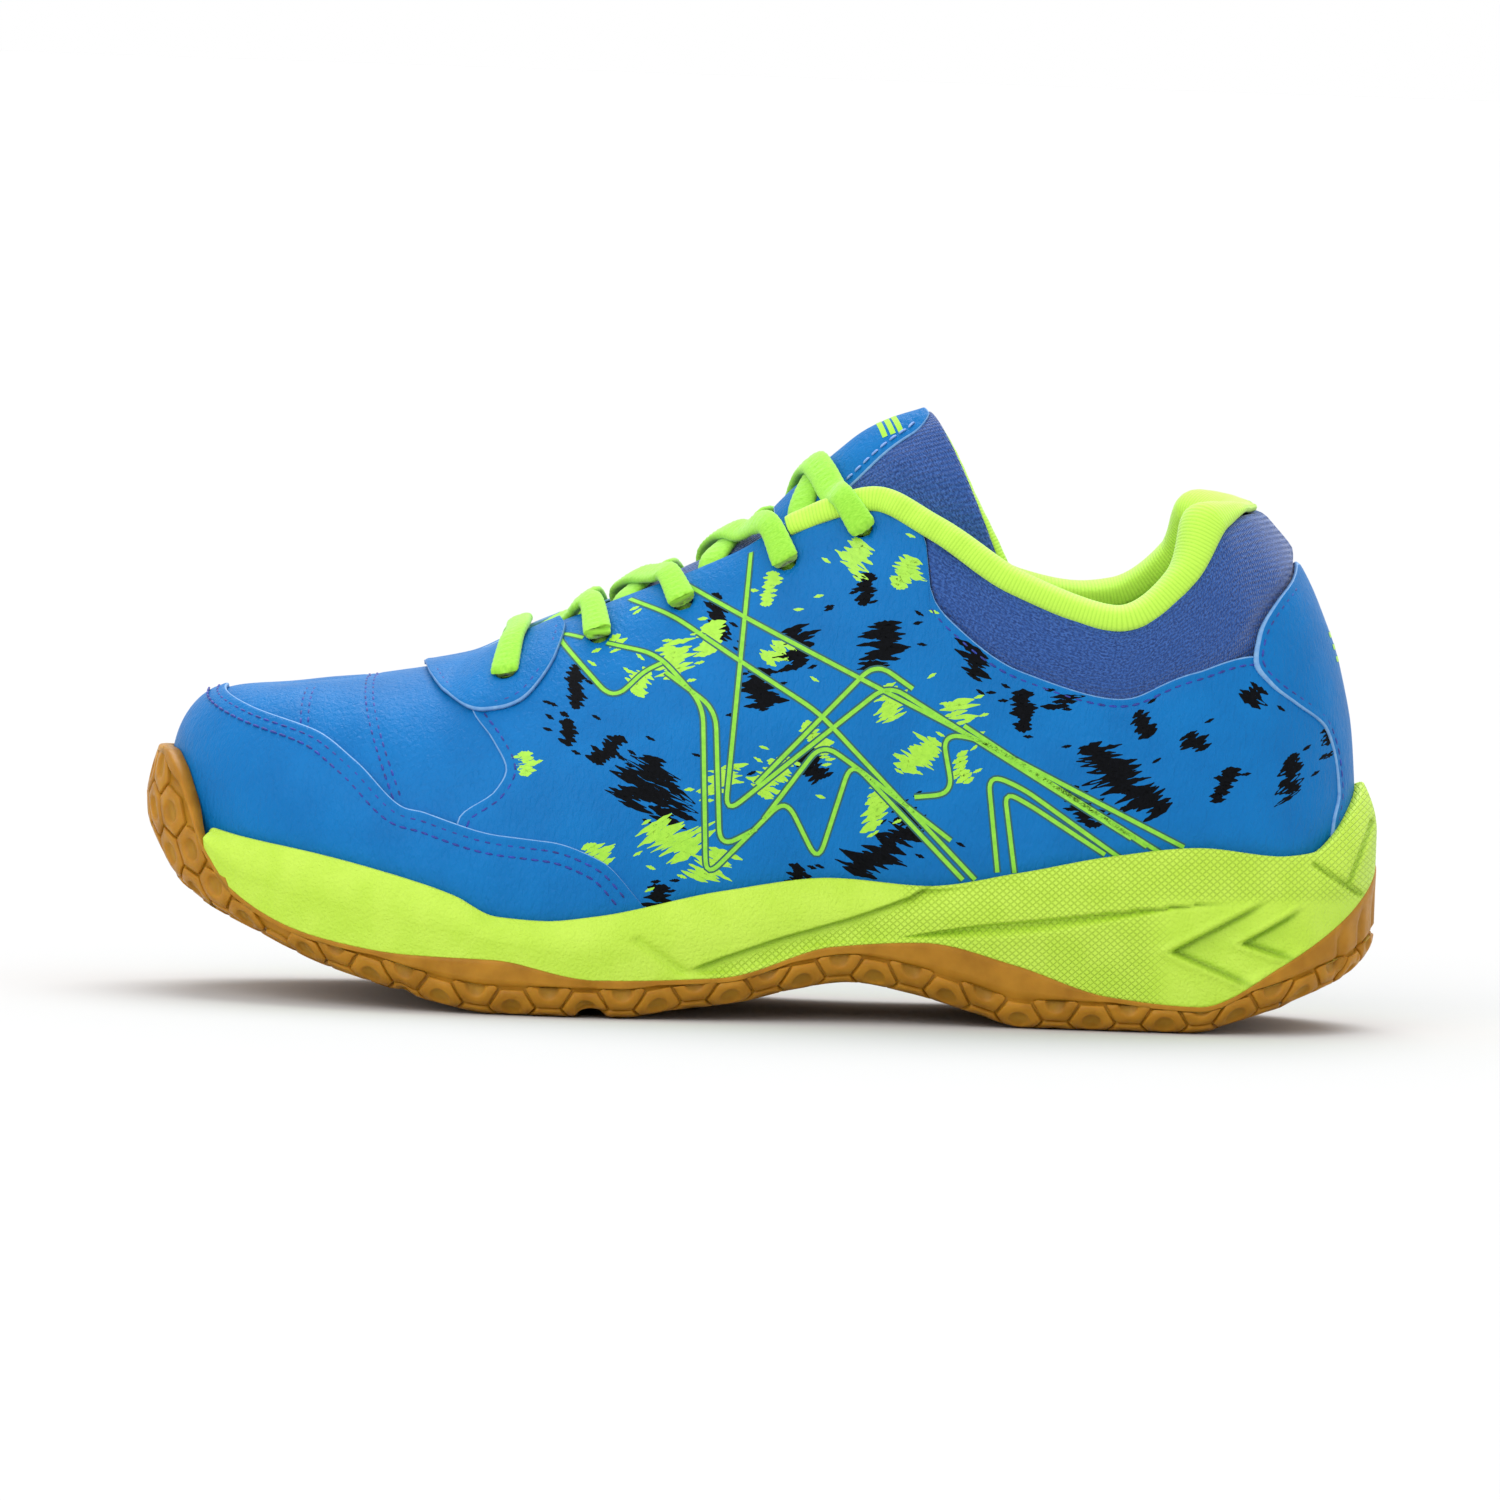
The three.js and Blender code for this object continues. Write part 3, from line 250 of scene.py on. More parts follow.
def top_z(q):
    side, s = fold(q)
    return np.where(side < 0, top_z_lateral(s), top_z_medial(s))


def point_at_rise(q, rise, out=0.0):
    """Point of the reference surface at a fraction of its height, moved straight out of the shoe."""
    side, s = fold(q)
    feather = feather_point(q)
    bed = bed_z(feather[..., 0])
    inward = 1 - np.maximum(0, 1 - rise ** exponent_up(s)) ** (1 / exponent_in(s))
    top = np.stack([top_x(s), ridge_y(s) + side * half_gap(s)], -1)
    bulge = swell(s) * np.sin(np.pi * rise) * (1 - inward) + out
    plan = feather + (top - feather) * inward[..., None] + outward(q) * bulge[..., None]
    return np.concatenate([plan, (bed + (top_z(q) - bed) * rise)[..., None]], -1)


def surface(q, t):
    """Point of the reference surface at (q, t)."""
    q, t = np.broadcast_arrays(np.asarray(q, float), np.asarray(t, float))
    n = exponent_in(fold(q)[1])
    eased = 1 - (1 - t) ** (1 + (n - 1) * 0.35)
    roundness = np.clip(n - 1, 0, 1)
    return point_at_rise(q, (1 - roundness) * eased + roundness * np.sin(np.pi * eased / 2))


def surface_normal(q, t, step=0.01):
    q = np.asarray(q, float)
    t = np.clip(np.asarray(t, float), 0.02, 0.97)
    up = surface(q, t + step) - surface(q, t - step)
    return unit(np.cross(up, surface(q + step, t) - surface(q - step, t)))


def wall_point(q, z, out):
    """Point at a height on or below the reference surface, moved straight out of the shoe."""
    q, z, out = np.broadcast_arrays(*(np.asarray(value, float) for value in (q, z, out)))
    bed = bed_z(feather_point(q)[..., 0])
    point = point_at_rise(q, np.clip((z - bed) / (top_z(q) - bed), 0, 1), out)
    point[..., 2] = z
    return point


def padded_share(q, t):
    """Where the lining is padded, from 0 to 1: round the collar."""
    return smoothstep(fold(q)[1], 9.3, 10.8) * smoothstep(t, 0.48, 0.7)


def lining_depth(q, t):
    return LINING_DEPTH + COLLAR_PADDING * padded_share(q, t)


RELIEF_WAVES = 7


def relief(points, size, amount, seed):
    """Gentle unevenness, in waves of about the given size."""
    random = np.random.default_rng(seed)
    total = np.zeros(points.shape[:-1])
    for _ in range(RELIEF_WAVES):
        direction = unit(random.normal(size=3))
        wave = 2 * np.pi / (size * random.uniform(0.6, 1.5))
        total += np.sin(points @ direction * wave + random.uniform(0, 2 * np.pi))
    return amount * total / 4


# ---------------------------------------------------------------- mesh makers

def spread(start, stop, count, margin):
    """Even values with a narrow first and last interval, for the rounded edge of a panel."""
    return np.concatenate([[start], np.linspace(start + margin, stop - margin, count), [stop]])


def patch(points, uv, outer, inner, flip=False):
    """Grid of points with the distances out to a sheet's two faces."""
    shape = points.shape[:2]
    return {
        "points": points.reshape(-1, 3),
        "uv": uv.reshape(-1, 2),
        "outer": np.broadcast_to(outer, shape).reshape(-1),
        "inner": np.broadcast_to(inner, shape).reshape(-1),
        "shape": shape,
        "flip": flip,
    }


def face_distance(value, *place):
    """Distance to one face of a sheet: a number, or a function of the place on it."""
    return value(*place) if callable(value) else value


def upper_patch(q, t, outer, inner):
    """Patch of the upper. outer and inner are numbers, or functions of (q, t, points)."""
    q, t = np.broadcast_arrays(q, t)
    points = surface(q, t)
    uv = np.stack([q * STATION_LENGTH, t * UPPER_RISE], -1) * MM
    faces = [face_distance(value, q, t, points) for value in (outer, inner)]
    return patch(points, uv, *faces, flip=q[0].mean() > q[-1].mean())


def grid_faces(shape, start=0, flip=False):
    index = start + np.arange(shape[0] * shape[1]).reshape(shape)
    corners = [index[:-1, :-1], index[:-1, 1:], index[1:, 1:], index[1:, :-1]]
    return np.stack(corners[::-1] if flip else corners, -1).reshape(-1, 4)


def ring_faces(rings, around, copies=1):
    """Quads between closed rings of points, for equal sets of rings one after another."""
    index = np.arange(rings * around).reshape(rings, around)
    after = np.roll(index, -1, axis=1)
    faces = np.stack([index[:-1], after[:-1], after[1:], index[1:]], -1).reshape(-1, 4)
    starts = rings * around * np.arange(copies)[:, None, None]
    return (faces[None] + starts).reshape(-1, 4)


def unmapped(points, faces):
    """A mesh in one look that needs no layout, as (points, faces, look of each face, uv)."""
    return points, faces, np.zeros(len(faces), int), np.zeros((len(points), 2))


def mapped_in_plan(points, faces):
    """The same, laid out as seen from above."""
    return points, faces, np.zeros(len(faces), int), points[:, :2] * MM


def weld(points, faces):
    """Shares coinciding points. Returns which points are kept, and the faces numbered by them."""
    keys = np.round(points * 1e3).astype(np.int64)
    _, first, group = np.unique(keys, axis=0, return_index=True, return_inverse=True)
    return first, group.reshape(-1)[faces]


def vertex_normals(points, faces):
    a, b, c, d = (points[faces[:, k]] for k in range(4))
    area = np.cross(c - a, d - b)
    normals = np.zeros_like(points)
    for k in range(4):
        np.add.at(normals, faces[:, k], area)
    return unit(normals)


def sheet(patches, holes=(), soften=0.3):
    """Closed sheet over patches, with rounded edges and round holes.

    Returns its points, faces, the look of each face (0 on the faces, 1 on the cut edge) and its uv.
    """
    starts = np.cumsum([0] + [len(p["points"]) for p in patches])
    faces = np.concatenate([grid_faces(p["shape"], start, p["flip"]) for p, start in zip(patches, starts)])
    joined = {key: np.concatenate([p[key] for p in patches]) for key in ("points", "uv", "outer", "inner")}
    first, faces = weld(joined["points"], faces)
    points, uv, outer, inner = (joined[key][first] for key in ("points", "uv", "outer", "inner"))
    at_hole = np.zeros(len(points), bool)
    for centre, radius in holes:
        distance = np.linalg.norm(points - centre, axis=1)
        inside = distance < radius
        faces = faces[~inside[faces].all(1)]
        points[inside] = centre + unit(points[inside] - centre) * radius
        at_hole |= inside
    normals = vertex_normals(points, faces)
    edges = np.concatenate([faces[:, [k, (k + 1) % 4]] for k in range(4)])
    edges = edges[edges[:, 0] != edges[:, 1]]
    count = len(points)
    codes = edges[:, 0] * count + edges[:, 1]
    edges = edges[~np.isin(codes, edges[:, 1] * count + edges[:, 0])]
    border = np.zeros(count, bool)
    border[edges] = True
    beside = np.zeros(count, bool)
    beside[faces[border[faces].any(1)]] = True
    outer[border] -= soften
    outer[beside & ~border] -= soften * 0.2
    both = np.concatenate([points + normals * outer[:, None], points + normals * inner[:, None]])
    rim = np.stack([edges[:, 1], edges[:, 0], edges[:, 0] + count, edges[:, 1] + count], -1)
    looks = np.concatenate([(border & ~at_hole)[faces].any(1), np.zeros(len(faces)), np.ones(len(rim))])
    quads = np.concatenate([faces, faces[:, ::-1] + count, rim])
    return both, quads, looks.astype(int), np.concatenate([uv, uv])


def add_piece(name, made, looks, body="shoe", replaces=()):
    """Makes one object of (points in millimetres, faces, look of each face, uv)."""
    points, faces, face_looks, uv = made
    kept = []
    kept_looks = []
    for face, face_look in zip(np.asarray(faces).tolist(), np.asarray(face_looks).tolist()):
        corners = [a for a, b in zip(face, face[1:] + face[:1]) if a != b]
        if len(corners) > 2 and len(set(corners)) == len(corners):
            kept.append(corners)
            kept_looks.append(face_look)
    mesh = bpy.data.meshes.new(name)
    mesh.from_pydata((np.asarray(points) * MM).tolist(), [], kept)
    for look in looks:
        mesh.materials.append(look)
    mesh.polygons.foreach_set("use_smooth", [True] * len(kept))
    mesh.polygons.foreach_set("material_index", np.minimum(kept_looks, len(looks) - 1))
    if uv is not None:
        corners = np.zeros(len(mesh.loops), int)
        mesh.loops.foreach_get("vertex_index", corners)
        mesh.uv_layers.new(name="Layout").data.foreach_set("uv", np.asarray(uv)[corners].ravel())
    mesh.update()
    piece = bpy.data.objects.new(name, mesh)
    bpy.context.scene.collection.objects.link(piece)
    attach(piece, body)
    if replaces:
        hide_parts(*replaces)
    return piece


def joined(parts):
    """One (points, faces, looks, uv) of several."""
    starts = np.cumsum([0] + [len(part[0]) for part in parts])
    return (np.concatenate([part[0] for part in parts]),
            np.concatenate([np.asarray(part[1]) + start for part, start in zip(parts, starts)]),
            np.concatenate([part[2] for part in parts]),
            np.concatenate([part[3] for part in parts]))


def sweep(origins, acrosses, outs, sections):
    """Closed sweep: sections[i] holds the (across, out) points round ring i."""
    points = origins[:, None] + acrosses[:, None] * sections[..., :1] + outs[:, None] * sections[..., 1:]
    rings, around = sections.shape[:2]
    index = np.arange(rings * around).reshape(rings, around)
    after = np.roll(index, -1, axis=1)
    length = np.broadcast_to(length_along(origins)[:, None], (rings, around))
    uv = (np.stack([length, sections[..., 0]], -1) * MM).reshape(-1, 2)
    points = points.reshape(-1, 3)
    ends = [points[index[0]].mean(0), points[index[-1]].mean(0)]
    first_end = np.full(around, len(points))
    last_end = first_end + 1
    faces = np.concatenate([
        ring_faces(rings, around),
        np.stack([after[0], index[0], first_end, first_end], -1),
        np.stack([index[-1], after[-1], last_end, last_end], -1),
    ])
    points = np.concatenate([points, ends])
    return points, faces, np.zeros(len(faces), int), np.concatenate([uv, uv[[0, -1]]])


def columns_solid(columns):
    """Closed solid of columns round the sole, each from the underside's middle to the top's."""
    count, rows = columns.shape[:2]
    index = np.arange(count * rows).reshape(count, rows)
    after = np.roll(index, -1, axis=0)
    faces = np.stack([index[:, :-1], after[:, :-1], after[:, 1:], index[:, 1:]], -1).reshape(-1, 4)
    points = columns.reshape(-1, 3)
    first, faces = weld(points, faces)
    return mapped_in_plan(points[first], faces)


# ---------------------------------------------------------------- routes, stitches and grooves

def even(points, normals, pitch):
    """Points and normals at an even pitch along a line."""
    length = length_along(points)
    count = max(2, int(round(length[-1] / pitch)) + 1)
    at = np.linspace(0, length[-1], count)
    return resampled(points, length, at), unit(resampled(normals, length, at))


def route(q, t, inset, lift):
    """Stitch-spaced (points, normals) beside a line on the upper, inset to the left of the way it runs."""
    points = surface(q, t)
    normals = surface_normal(q, t)
    forward = unit(np.gradient(points, axis=0))
    return even(points + np.cross(normals, forward) * inset + normals * lift, normals, STITCH_PITCH)


def dense_line(pairs, samples=160):
    """Dense (s, t) samples of a line through a few points."""
    place = np.linspace(0, len(pairs) - 1, samples)
    return [smooth_curve(list(enumerate(values)))(place) for values in zip(*pairs)]


def stitch_row(line):
    """A row of threads: each is a short capsule that dips into the leather at both ends."""
    points, normals = line
    middle = (points[1:] + points[:-1]) / 2
    normal = unit(normals[1:] + normals[:-1])
    forward = unit(points[1:] - points[:-1])
    across = np.cross(normal, forward)
    placed = []
    for along, girth, height in STITCH_RINGS:
        for turn in np.arange(STITCH_SIDES) * 2 * np.pi / STITCH_SIDES:
            beside = girth * STITCH_RADIUS * math.cos(turn)
            above = girth * STITCH_RADIUS * math.sin(turn) + height
            placed.append(middle + forward * along * STITCH_LENGTH + across * beside + normal * above)
    faces = ring_faces(len(STITCH_RINGS), STITCH_SIDES, len(middle))[:, [0, 3, 2, 1]]
    return unmapped(np.stack(placed, 1).reshape(-1, 3), faces)


def groove(points, lines):
    """How far the leather is drawn in along rows of stitches."""
    stops = np.concatenate([line[0] for line in lines])
    stops = np.concatenate([stops, (stops[1:] + stops[:-1]) / 2])
    tree = KDTree(len(stops))
    for i, stop in enumerate(stops):
        tree.insert(stop, i)
    tree.balance()
    distance = np.array([tree.find(point)[2] for point in points.reshape(-1, 3)]).reshape(points.shape[:-1])
    return GROOVE_DEPTH * np.exp(-(distance / GROOVE_WIDTH) ** 2)


# ---------------------------------------------------------------- materials

def rgb(code):
    """Linear colour of an sRGB hex code."""
    values = [int(code[i:i + 2], 16) / 255 for i in (1, 3, 5)]
    return tuple(v / 12.92 if v <= 0.04045 else ((v + 0.055) / 1.055) ** 2.4 for v in values) + (1.0,)


class Look:
    """A procedural material. Sizes of its textures are in millimetres."""

    def __init__(self, name, roughness, **constants):
        self.material = bpy.data.materials.new(name)
        self.material.use_nodes = True
        self.tree = self.material.node_tree
        self.shader = self.tree.nodes["Principled BSDF"]
        self.shader.inputs["Roughness"].default_value = roughness
        for socket, value in constants.items():
            self.shader.inputs[socket.replace("_", " ")].default_value = value
        self.coordinates = self.tree.nodes.new("ShaderNodeTexCoord")

    def node(self, kind, inputs=None, **settings):
        made = self.tree.nodes.new("ShaderNode" + kind)
        for key, value in settings.items():
            setattr(made, key, value)
        for key, value in (inputs or {}).items():
            if isinstance(value, bpy.types.NodeSocket):
                self.tree.links.new(value, made.inputs[key])
            else:
                made.inputs[key].default_value = value
        return made

    def place(self, source="Object", turn=(0, 0, 0), scale=(1, 1, 1)):
        return self.node("Mapping", {"Vector": self.coordinates.outputs[source], "Rotation": turn,
                                     "Scale": scale}).outputs["Vector"]

    def noise(self, size, detail=2, vector=None, distortion=0):
        return self.node("TexNoise", {"Vector": vector or self.place(), "Scale": 1 / (size * MM),
                                      "Detail": detail, "Distortion": distortion}).outputs[0]

    def math(self, operation, a, b=0.0):
        return self.node("Math", {0: a, 1: b}, operation=operation).outputs[0]

    def ridges(self, direction, pitch, vector=None):
        """Waves from 0 to 1 across a direction."""
        along = self.node("VectorMath", {0: vector or self.place(), 1: direction}, operation="DOT_PRODUCT")
        turned = self.math("MULTIPLY", along.outputs["Value"], 2 * math.pi / (pitch * MM))
        return self.math("ADD", self.math("MULTIPLY", self.math("SINE", turned), 0.5), 0.5)

    def spread(self, value, low, high, to_low=0.0, to_high=1.0):
        return self.node("MapRange", {"Value": value, "From Min": low, "From Max": high, "To Min": to_low,
                                      "To Max": to_high}).outputs[0]

    def mix(self, factor, a, b):
        return self.node("Mix", {0: factor, 6: a, 7: b}, data_type="RGBA").outputs[2]

    def color(self, value):
        if isinstance(value, bpy.types.NodeSocket):
            self.tree.links.new(value, self.shader.inputs["Base Color"])
        else:
            self.shader.inputs["Base Color"].default_value = value

    def rough(self, value):
        self.tree.links.new(value, self.shader.inputs["Roughness"])

    def bump(self, height, depth, normal=None):
        """Fine relief of the given depth; chains on another bump's normal."""
        inputs = {"Height": height, "Distance": depth * MM, "Strength": 1.0}
        if normal:
            inputs["Normal"] = normal
        made = self.node("Bump", inputs).outputs[0]
        self.tree.links.new(made, self.shader.inputs["Normal"])
        return made


def leather(name, base, dark, roughness=0.42):
    """Coated synthetic leather: a slanting fine grain over soft unevenness."""
    look = Look(name, roughness, Specular_IOR_Level=0.13)
    slanted = look.place(turn=(0, math.radians(38), math.radians(12)), scale=(1, 1, 0.42))
    grain = look.noise(1.0, 3, slanted, 0.6)
    tone = look.spread(look.noise(14, 3), 0.3, 0.7)
    fine = look.spread(grain, 0.35, 0.65)
    look.color(look.mix(look.math("MULTIPLY", fine, 0.25), look.mix(tone, rgb(base), rgb(dark)), rgb(base)))
    look.rough(look.spread(grain, 0.2, 0.8, roughness - 0.06, roughness + 0.1))
    look.bump(grain, 0.38)
    return look.material


def knit(name, base, light, dark):
    """Heathered jersey knit: rows of small loops in mixed yarns."""
    look = Look(name, 0.85, Sheen_Weight=0.35, Sheen_Roughness=0.5, Specular_IOR_Level=0.2)
    flat = look.place("UV")
    yarn = look.noise(0.45, 2, look.place("UV", scale=(0.6, 1, 1)))
    rows = look.ridges((0, 1, 0), 0.95, flat)
    loops = look.math("MULTIPLY", rows, look.ridges((1, 0.25, 0), 0.8, flat))
    tone = look.mix(look.spread(yarn, 0.42, 0.6), rgb(dark), rgb(light))
    look.color(look.mix(look.spread(look.noise(2.5, 2), 0.35, 0.65, 0.15, 0.5), tone, rgb(base)))
    look.bump(loops, 0.2, look.bump(yarn, 0.15))
    return look.material


def spacer_mesh(name, base, dark, pitch=1.5):
    """Open textile mesh: rows of small holes between raised yarns, with painted shade in the holes."""
    look = Look(name, 0.8, Sheen_Weight=0.25, Specular_IOR_Level=0.25)
    flat = look.place("UV")
    leaning = look.ridges((1, 0.58, 0), pitch, flat)
    crossing = look.ridges((-1, 0.58, 0), pitch, flat)
    holes = look.math("MULTIPLY", leaning, crossing)
    # Painted shade: the dark colour fills the holes.
    look.color(look.mix(look.spread(holes, 0.35, 0.8), rgb(base), rgb(dark)))
    look.bump(look.spread(holes, 0.1, 0.8, 1, 0), 0.35)
    return look.material


def tape(name, base, dark, pitch=0.9):
    """Ribbed woven tape, with painted shade between its ribs."""
    look = Look(name, 0.75, Sheen_Weight=0.3, Specular_IOR_Level=0.25)
    ribs = look.ridges((1, 0, 0), pitch, look.place("UV"))
    # Painted shade: the dark colour fills the valleys between the ribs.
    look.color(look.mix(look.spread(ribs, 0.0, 0.5, 0.5, 1.0), rgb(dark), rgb(base)))
    look.bump(ribs, 0.06, look.bump(look.noise(0.6, 3), 0.12))
    return look.material


def plain(name, base, dark, roughness, size=3.0, depth=0.05, **constants):
    """Plain material with a little mottling."""
    look = Look(name, roughness, **constants)
    mottle = look.noise(size, 3)
    look.color(look.mix(look.spread(mottle, 0.3, 0.7), rgb(base), rgb(dark)))
    look.bump(look.noise(size / 4, 2), depth)
    return look.material


def moulded_foam(name, base, dark, groove_shade_color, crease_shade_color):
    """Moulded foam: fine stipple, cross-hatched by the hatch attribute, with painted shade in the sunk hatch
    lines and along the grooves that the crease attribute marks.
    """
    look = Look(name, 0.5, Specular_IOR_Level=0.35)
    hatch = look.node("Attribute", attribute_name="hatch").outputs["Fac"]
    lines = look.math("MAXIMUM", look.math("POWER", look.ridges((1, 0, 1.15), 1.75), 9),
                      look.math("POWER", look.ridges((1, 0, -1.15), 1.75), 9))
    stipple = look.spread(look.noise(0.75, 3), 0.35, 0.65)
    sunk = look.math("MULTIPLY", lines, -1.4)
    height = look.node("Mix", {0: hatch, 2: stipple, 3: sunk}, data_type="FLOAT")
    tone = look.mix(look.spread(look.noise(9, 3), 0.35, 0.65), rgb(base), rgb(dark))
    # Painted shade: the sunk hatch lines are darkened towards the groove colour.
    shaded = look.math("MULTIPLY", look.math("MULTIPLY", lines, hatch), 0.22)
    # Painted shade along the moulded grooves, where the crease attribute is high.
    crease_shade = look.node("Attribute", attribute_name="crease_shade").outputs["Fac"]
    hatch_shaded = look.mix(shaded, tone, rgb(groove_shade_color))
    look.color(look.mix(look.math("MULTIPLY", crease_shade, 0.7), hatch_shaded, rgb(crease_shade_color)))
    look.bump(height.outputs[0], 0.13)
    return look.material


def gum(name, base, dark):
    """Slightly translucent gum rubber."""
    look = Look(name, 0.42, Specular_IOR_Level=0.2, Subsurface_Weight=0.3, Subsurface_Scale=0.0025)
    look.shader.inputs["Subsurface Radius"].default_value = (1.0, 0.5, 0.15)
    look.color(look.mix(look.spread(look.noise(7, 4), 0.3, 0.7), rgb(base), rgb(dark)))
    look.rough(look.spread(look.noise(1.1, 3), 0.3, 0.7, 0.36, 0.52))
    look.bump(look.noise(0.5, 3), 0.03)
    return look.material


def braid(name, base, dark):
    """Woven lace: fine yarn over the braid's own chevrons."""
    look = Look(name, 0.8, Sheen_Weight=0.3, Specular_IOR_Level=0.2)
    yarn = look.noise(0.35, 2, look.place("UV", scale=(1, 0.4, 1)))
    look.color(look.mix(look.spread(yarn, 0.3, 0.7), rgb(base), rgb(dark)))
    look.bump(yarn, 0.08)
    return look.material


BLUE = leather("blue_leather", "#076fb4", "#0566a9")
BLUE_EDGE = plain("cut_edge", "#78a5d0", "#5c90c8", 0.6, 1.5)
KNIT = knit("blue_knit", "#244d92", "#3a62a8", "#183772")
THREAD = plain("blue_thread", "#1c3cae", "#0d1d66", 0.55, 1.0, Sheen_Weight=0.1)
PALE_THREAD = plain("pale_thread", "#8fb2e6", "#6c93d6", 0.55, 1.0, Sheen_Weight=0.1)
# The foam's last two colours are painted shade: in the hatch lines, and along the moulded grooves.
LIME_FOAM = moulded_foam("lime_foam", "#bbde47", "#b3d83c", "#8fb52a", "#7fa61c")
GUM = gum("gum_rubber", "#b27d1f", "#986712")
# The mesh's second colour is painted shade in its holes.
LIME_MESH = spacer_mesh("lime_mesh", "#c8f452", "#92c232")
# The tape's second colour is painted shade between its ribs.
LIME_TAPE = tape("lime_tape", "#b6e64a", "#93c834")
LIME_BRAID = braid("lime_braid", "#9edf45", "#86cc33")
LIME_PRINT = plain("lime_print", "#a2dc36", "#94d02e", 0.4, 1.2, 0.03)
DARK_PRINT = plain("dark_print", "#050608", "#0b0d12", 0.6, 0.8, 0.05, Specular_IOR_Level=0.06)
LIME_LINE = plain("lime_line_print", "#8fd646", "#7fc63c", 0.45, 1.2, 0.03, Specular_IOR_Level=0.15)
LINE_SHADOW = plain("line_shadow_print", "#0d5a4e", "#0b4f58", 0.45, 1.2, 0.03)
FOAM = plain("padding_foam", "#e6e3d6", "#d3cfbf", 0.9, 1.4, 0.2)
STIFFENER = plain("stiffener", "#d9d6cc", "#c9c5b8", 0.7, 2.5)
BACKING = plain("eyestay_backing", "#1f56a4", "#1a4a90", 0.8, 1.2, 0.1)
SHANK = plain("shank_plastic", "#1a1c20", "#24272c", 0.4, 2.0)
BOARD = plain("fibre_board", "#cfc7b0", "#bdb397", 0.85, 1.2, 0.1)
FILM = plain("aglet_film", "#c8f26a", "#b8ea50", 0.25, 4.0, Specular_IOR_Level=0.6, Coat_Weight=0.5)

CAD_LOOKS = {
    "stiffener": (STIFFENER, "heel_counter"),
    "shank_plastic": (SHANK, "shank_plate"),
    "fibre_board": (BOARD, "lasting_board"),
}
for slot_name, (look, node) in CAD_LOOKS.items():
    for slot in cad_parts[node].material_slots:
        slot.material = look


# ---------------------------------------------------------------- sole

WALL_ROUND_OUT = 5.4
WALL_ROUND_UP = 6.0
WALL_ROUND = 8.97  # length of the quarter ellipse at the foot of the wall
WALL_DENTS = [(-77, 7.8), (-38.8, 6.2)]
HEEL_SLITS = [(13.85, 13, 24), (14.3, 19, 27), (14.75, 22, 30)]  # station, and the heights it runs between
LUG_RADIUS = 5.72
LUG_GAP = 0.45
LUG_DEPTH = 1.0
LEAST_LUG = 2.2  # mean reach below which a lug cut by the tread's edge is left out
LUG_ANGLES = np.arange(24) * np.pi / 12
# A lug's rings: share of its hexagon, or radius where it is round, and height.
LUG_RINGS = [(1.0, 0, -LUG_DEPTH - 0.3), (1.0, 0, -0.3), (0.95, 0, 0.0), (0, 2.7, 0.0), (0, 2.35, -0.25),
             (0, 2.0, -0.8), (0, 0.02, -0.85)]
HEX_ROW = LUG_RADIUS * math.sqrt(3)


def toe_bumper(q):
    """Where the gum cups up over the toe, from 0 to 1."""
    s = fold(q)[1]
    return smoothstep(outsole_top(s) - midsole_rim(s), -4, 6)


def spine(q):
    """Middle line of the sole, which the columns at toe and heel fan out from."""
    place = np.clip(fold(q)[1], 2.8, 12.3)
    return (feather_point(-place) + feather_point(place)) / 2


def flex_notches(x):
    """Height of the two cuts across the forefoot's tread: a round one, and a soft one nearer the toe."""
    round_cut = 2.1 * np.sqrt(np.clip(1 - ((x + 38.4) / 3.6) ** 2, 0, 1))
    soft_cut = 1.3 * np.exp(-((x + 82.7) / 1.5) ** 2)
    return round_cut + soft_cut


def tread_height(x):
    return tread_z(x) + flex_notches(x)


def sole_base(q):
    """Tread height at the foot of the wall."""
    heel = smoothstep(fold(q)[1], 13.0, 14.2)
    foot = feather_point(q) + outward(q) * lerp(4.6, 2.0, heel)[..., None]
    return tread_z(foot[..., 0]), flex_notches(foot[..., 0])


def gum_wall(q, d, height):
    """Point of the gum wall at arc length d up from the tread's edge, raised by height."""
    q, d, height = np.broadcast_arrays(*(np.asarray(value, float) for value in (q, d, height)))
    s = fold(q)[1]
    bumper = toe_bumper(q)
    base, notch = sole_base(q)
    turn = np.clip(d / WALL_ROUND, 0, 1) * np.pi / 2
    z = base + notch * np.cos(turn) ** 2 + WALL_ROUND_UP * (1 - np.cos(turn)) + np.maximum(d - WALL_ROUND, 0)
    top = outsole_top(s)
    up = np.clip((z - (base + top) / 2) / np.maximum((top - base) / 2, 1), 0, 1)
    side_out = lerp(WALL_OUT, lerp(WALL_OUT, BUMPER_OUT, up), bumper)
    for place, low, high in HEEL_SLITS:
        across_slit = np.exp(-((s - place) / 0.055) ** 2)
        up_slit = smoothstep(z, low - 1, low + 1) * (1 - smoothstep(z, high - 1, high + 1))
        side_out = side_out - 1.2 * across_slit * up_slit
    out = side_out - WALL_ROUND_OUT * (1 - np.sin(turn)) + height * np.sin(turn)
    point = wall_point(q, z, out)
    for dent_x, dent_z in WALL_DENTS:
        away = np.hypot(point[..., 0] - dent_x, point[..., 2] - dent_z)
        point[..., :2] -= outward(q) * (1.1 * np.exp(-(away / 2.6) ** 2))[..., None]
    point[..., 2] -= height * np.cos(turn)
    return point


def gum_wall_top(q):
    """Arc length up the gum wall to its top edge."""
    s = fold(q)[1]
    base, _ = sole_base(q)
    return WALL_ROUND + outsole_top(s) - base - WALL_ROUND_UP


def lug_zone(q):
    """How far up the wall the lugs reach."""
    toe = 1 - smoothstep(fold(q)[1], 1.2, 3)
    return np.minimum(gum_wall_top(q) - 1.3, lerp(9.8, 27, toe))


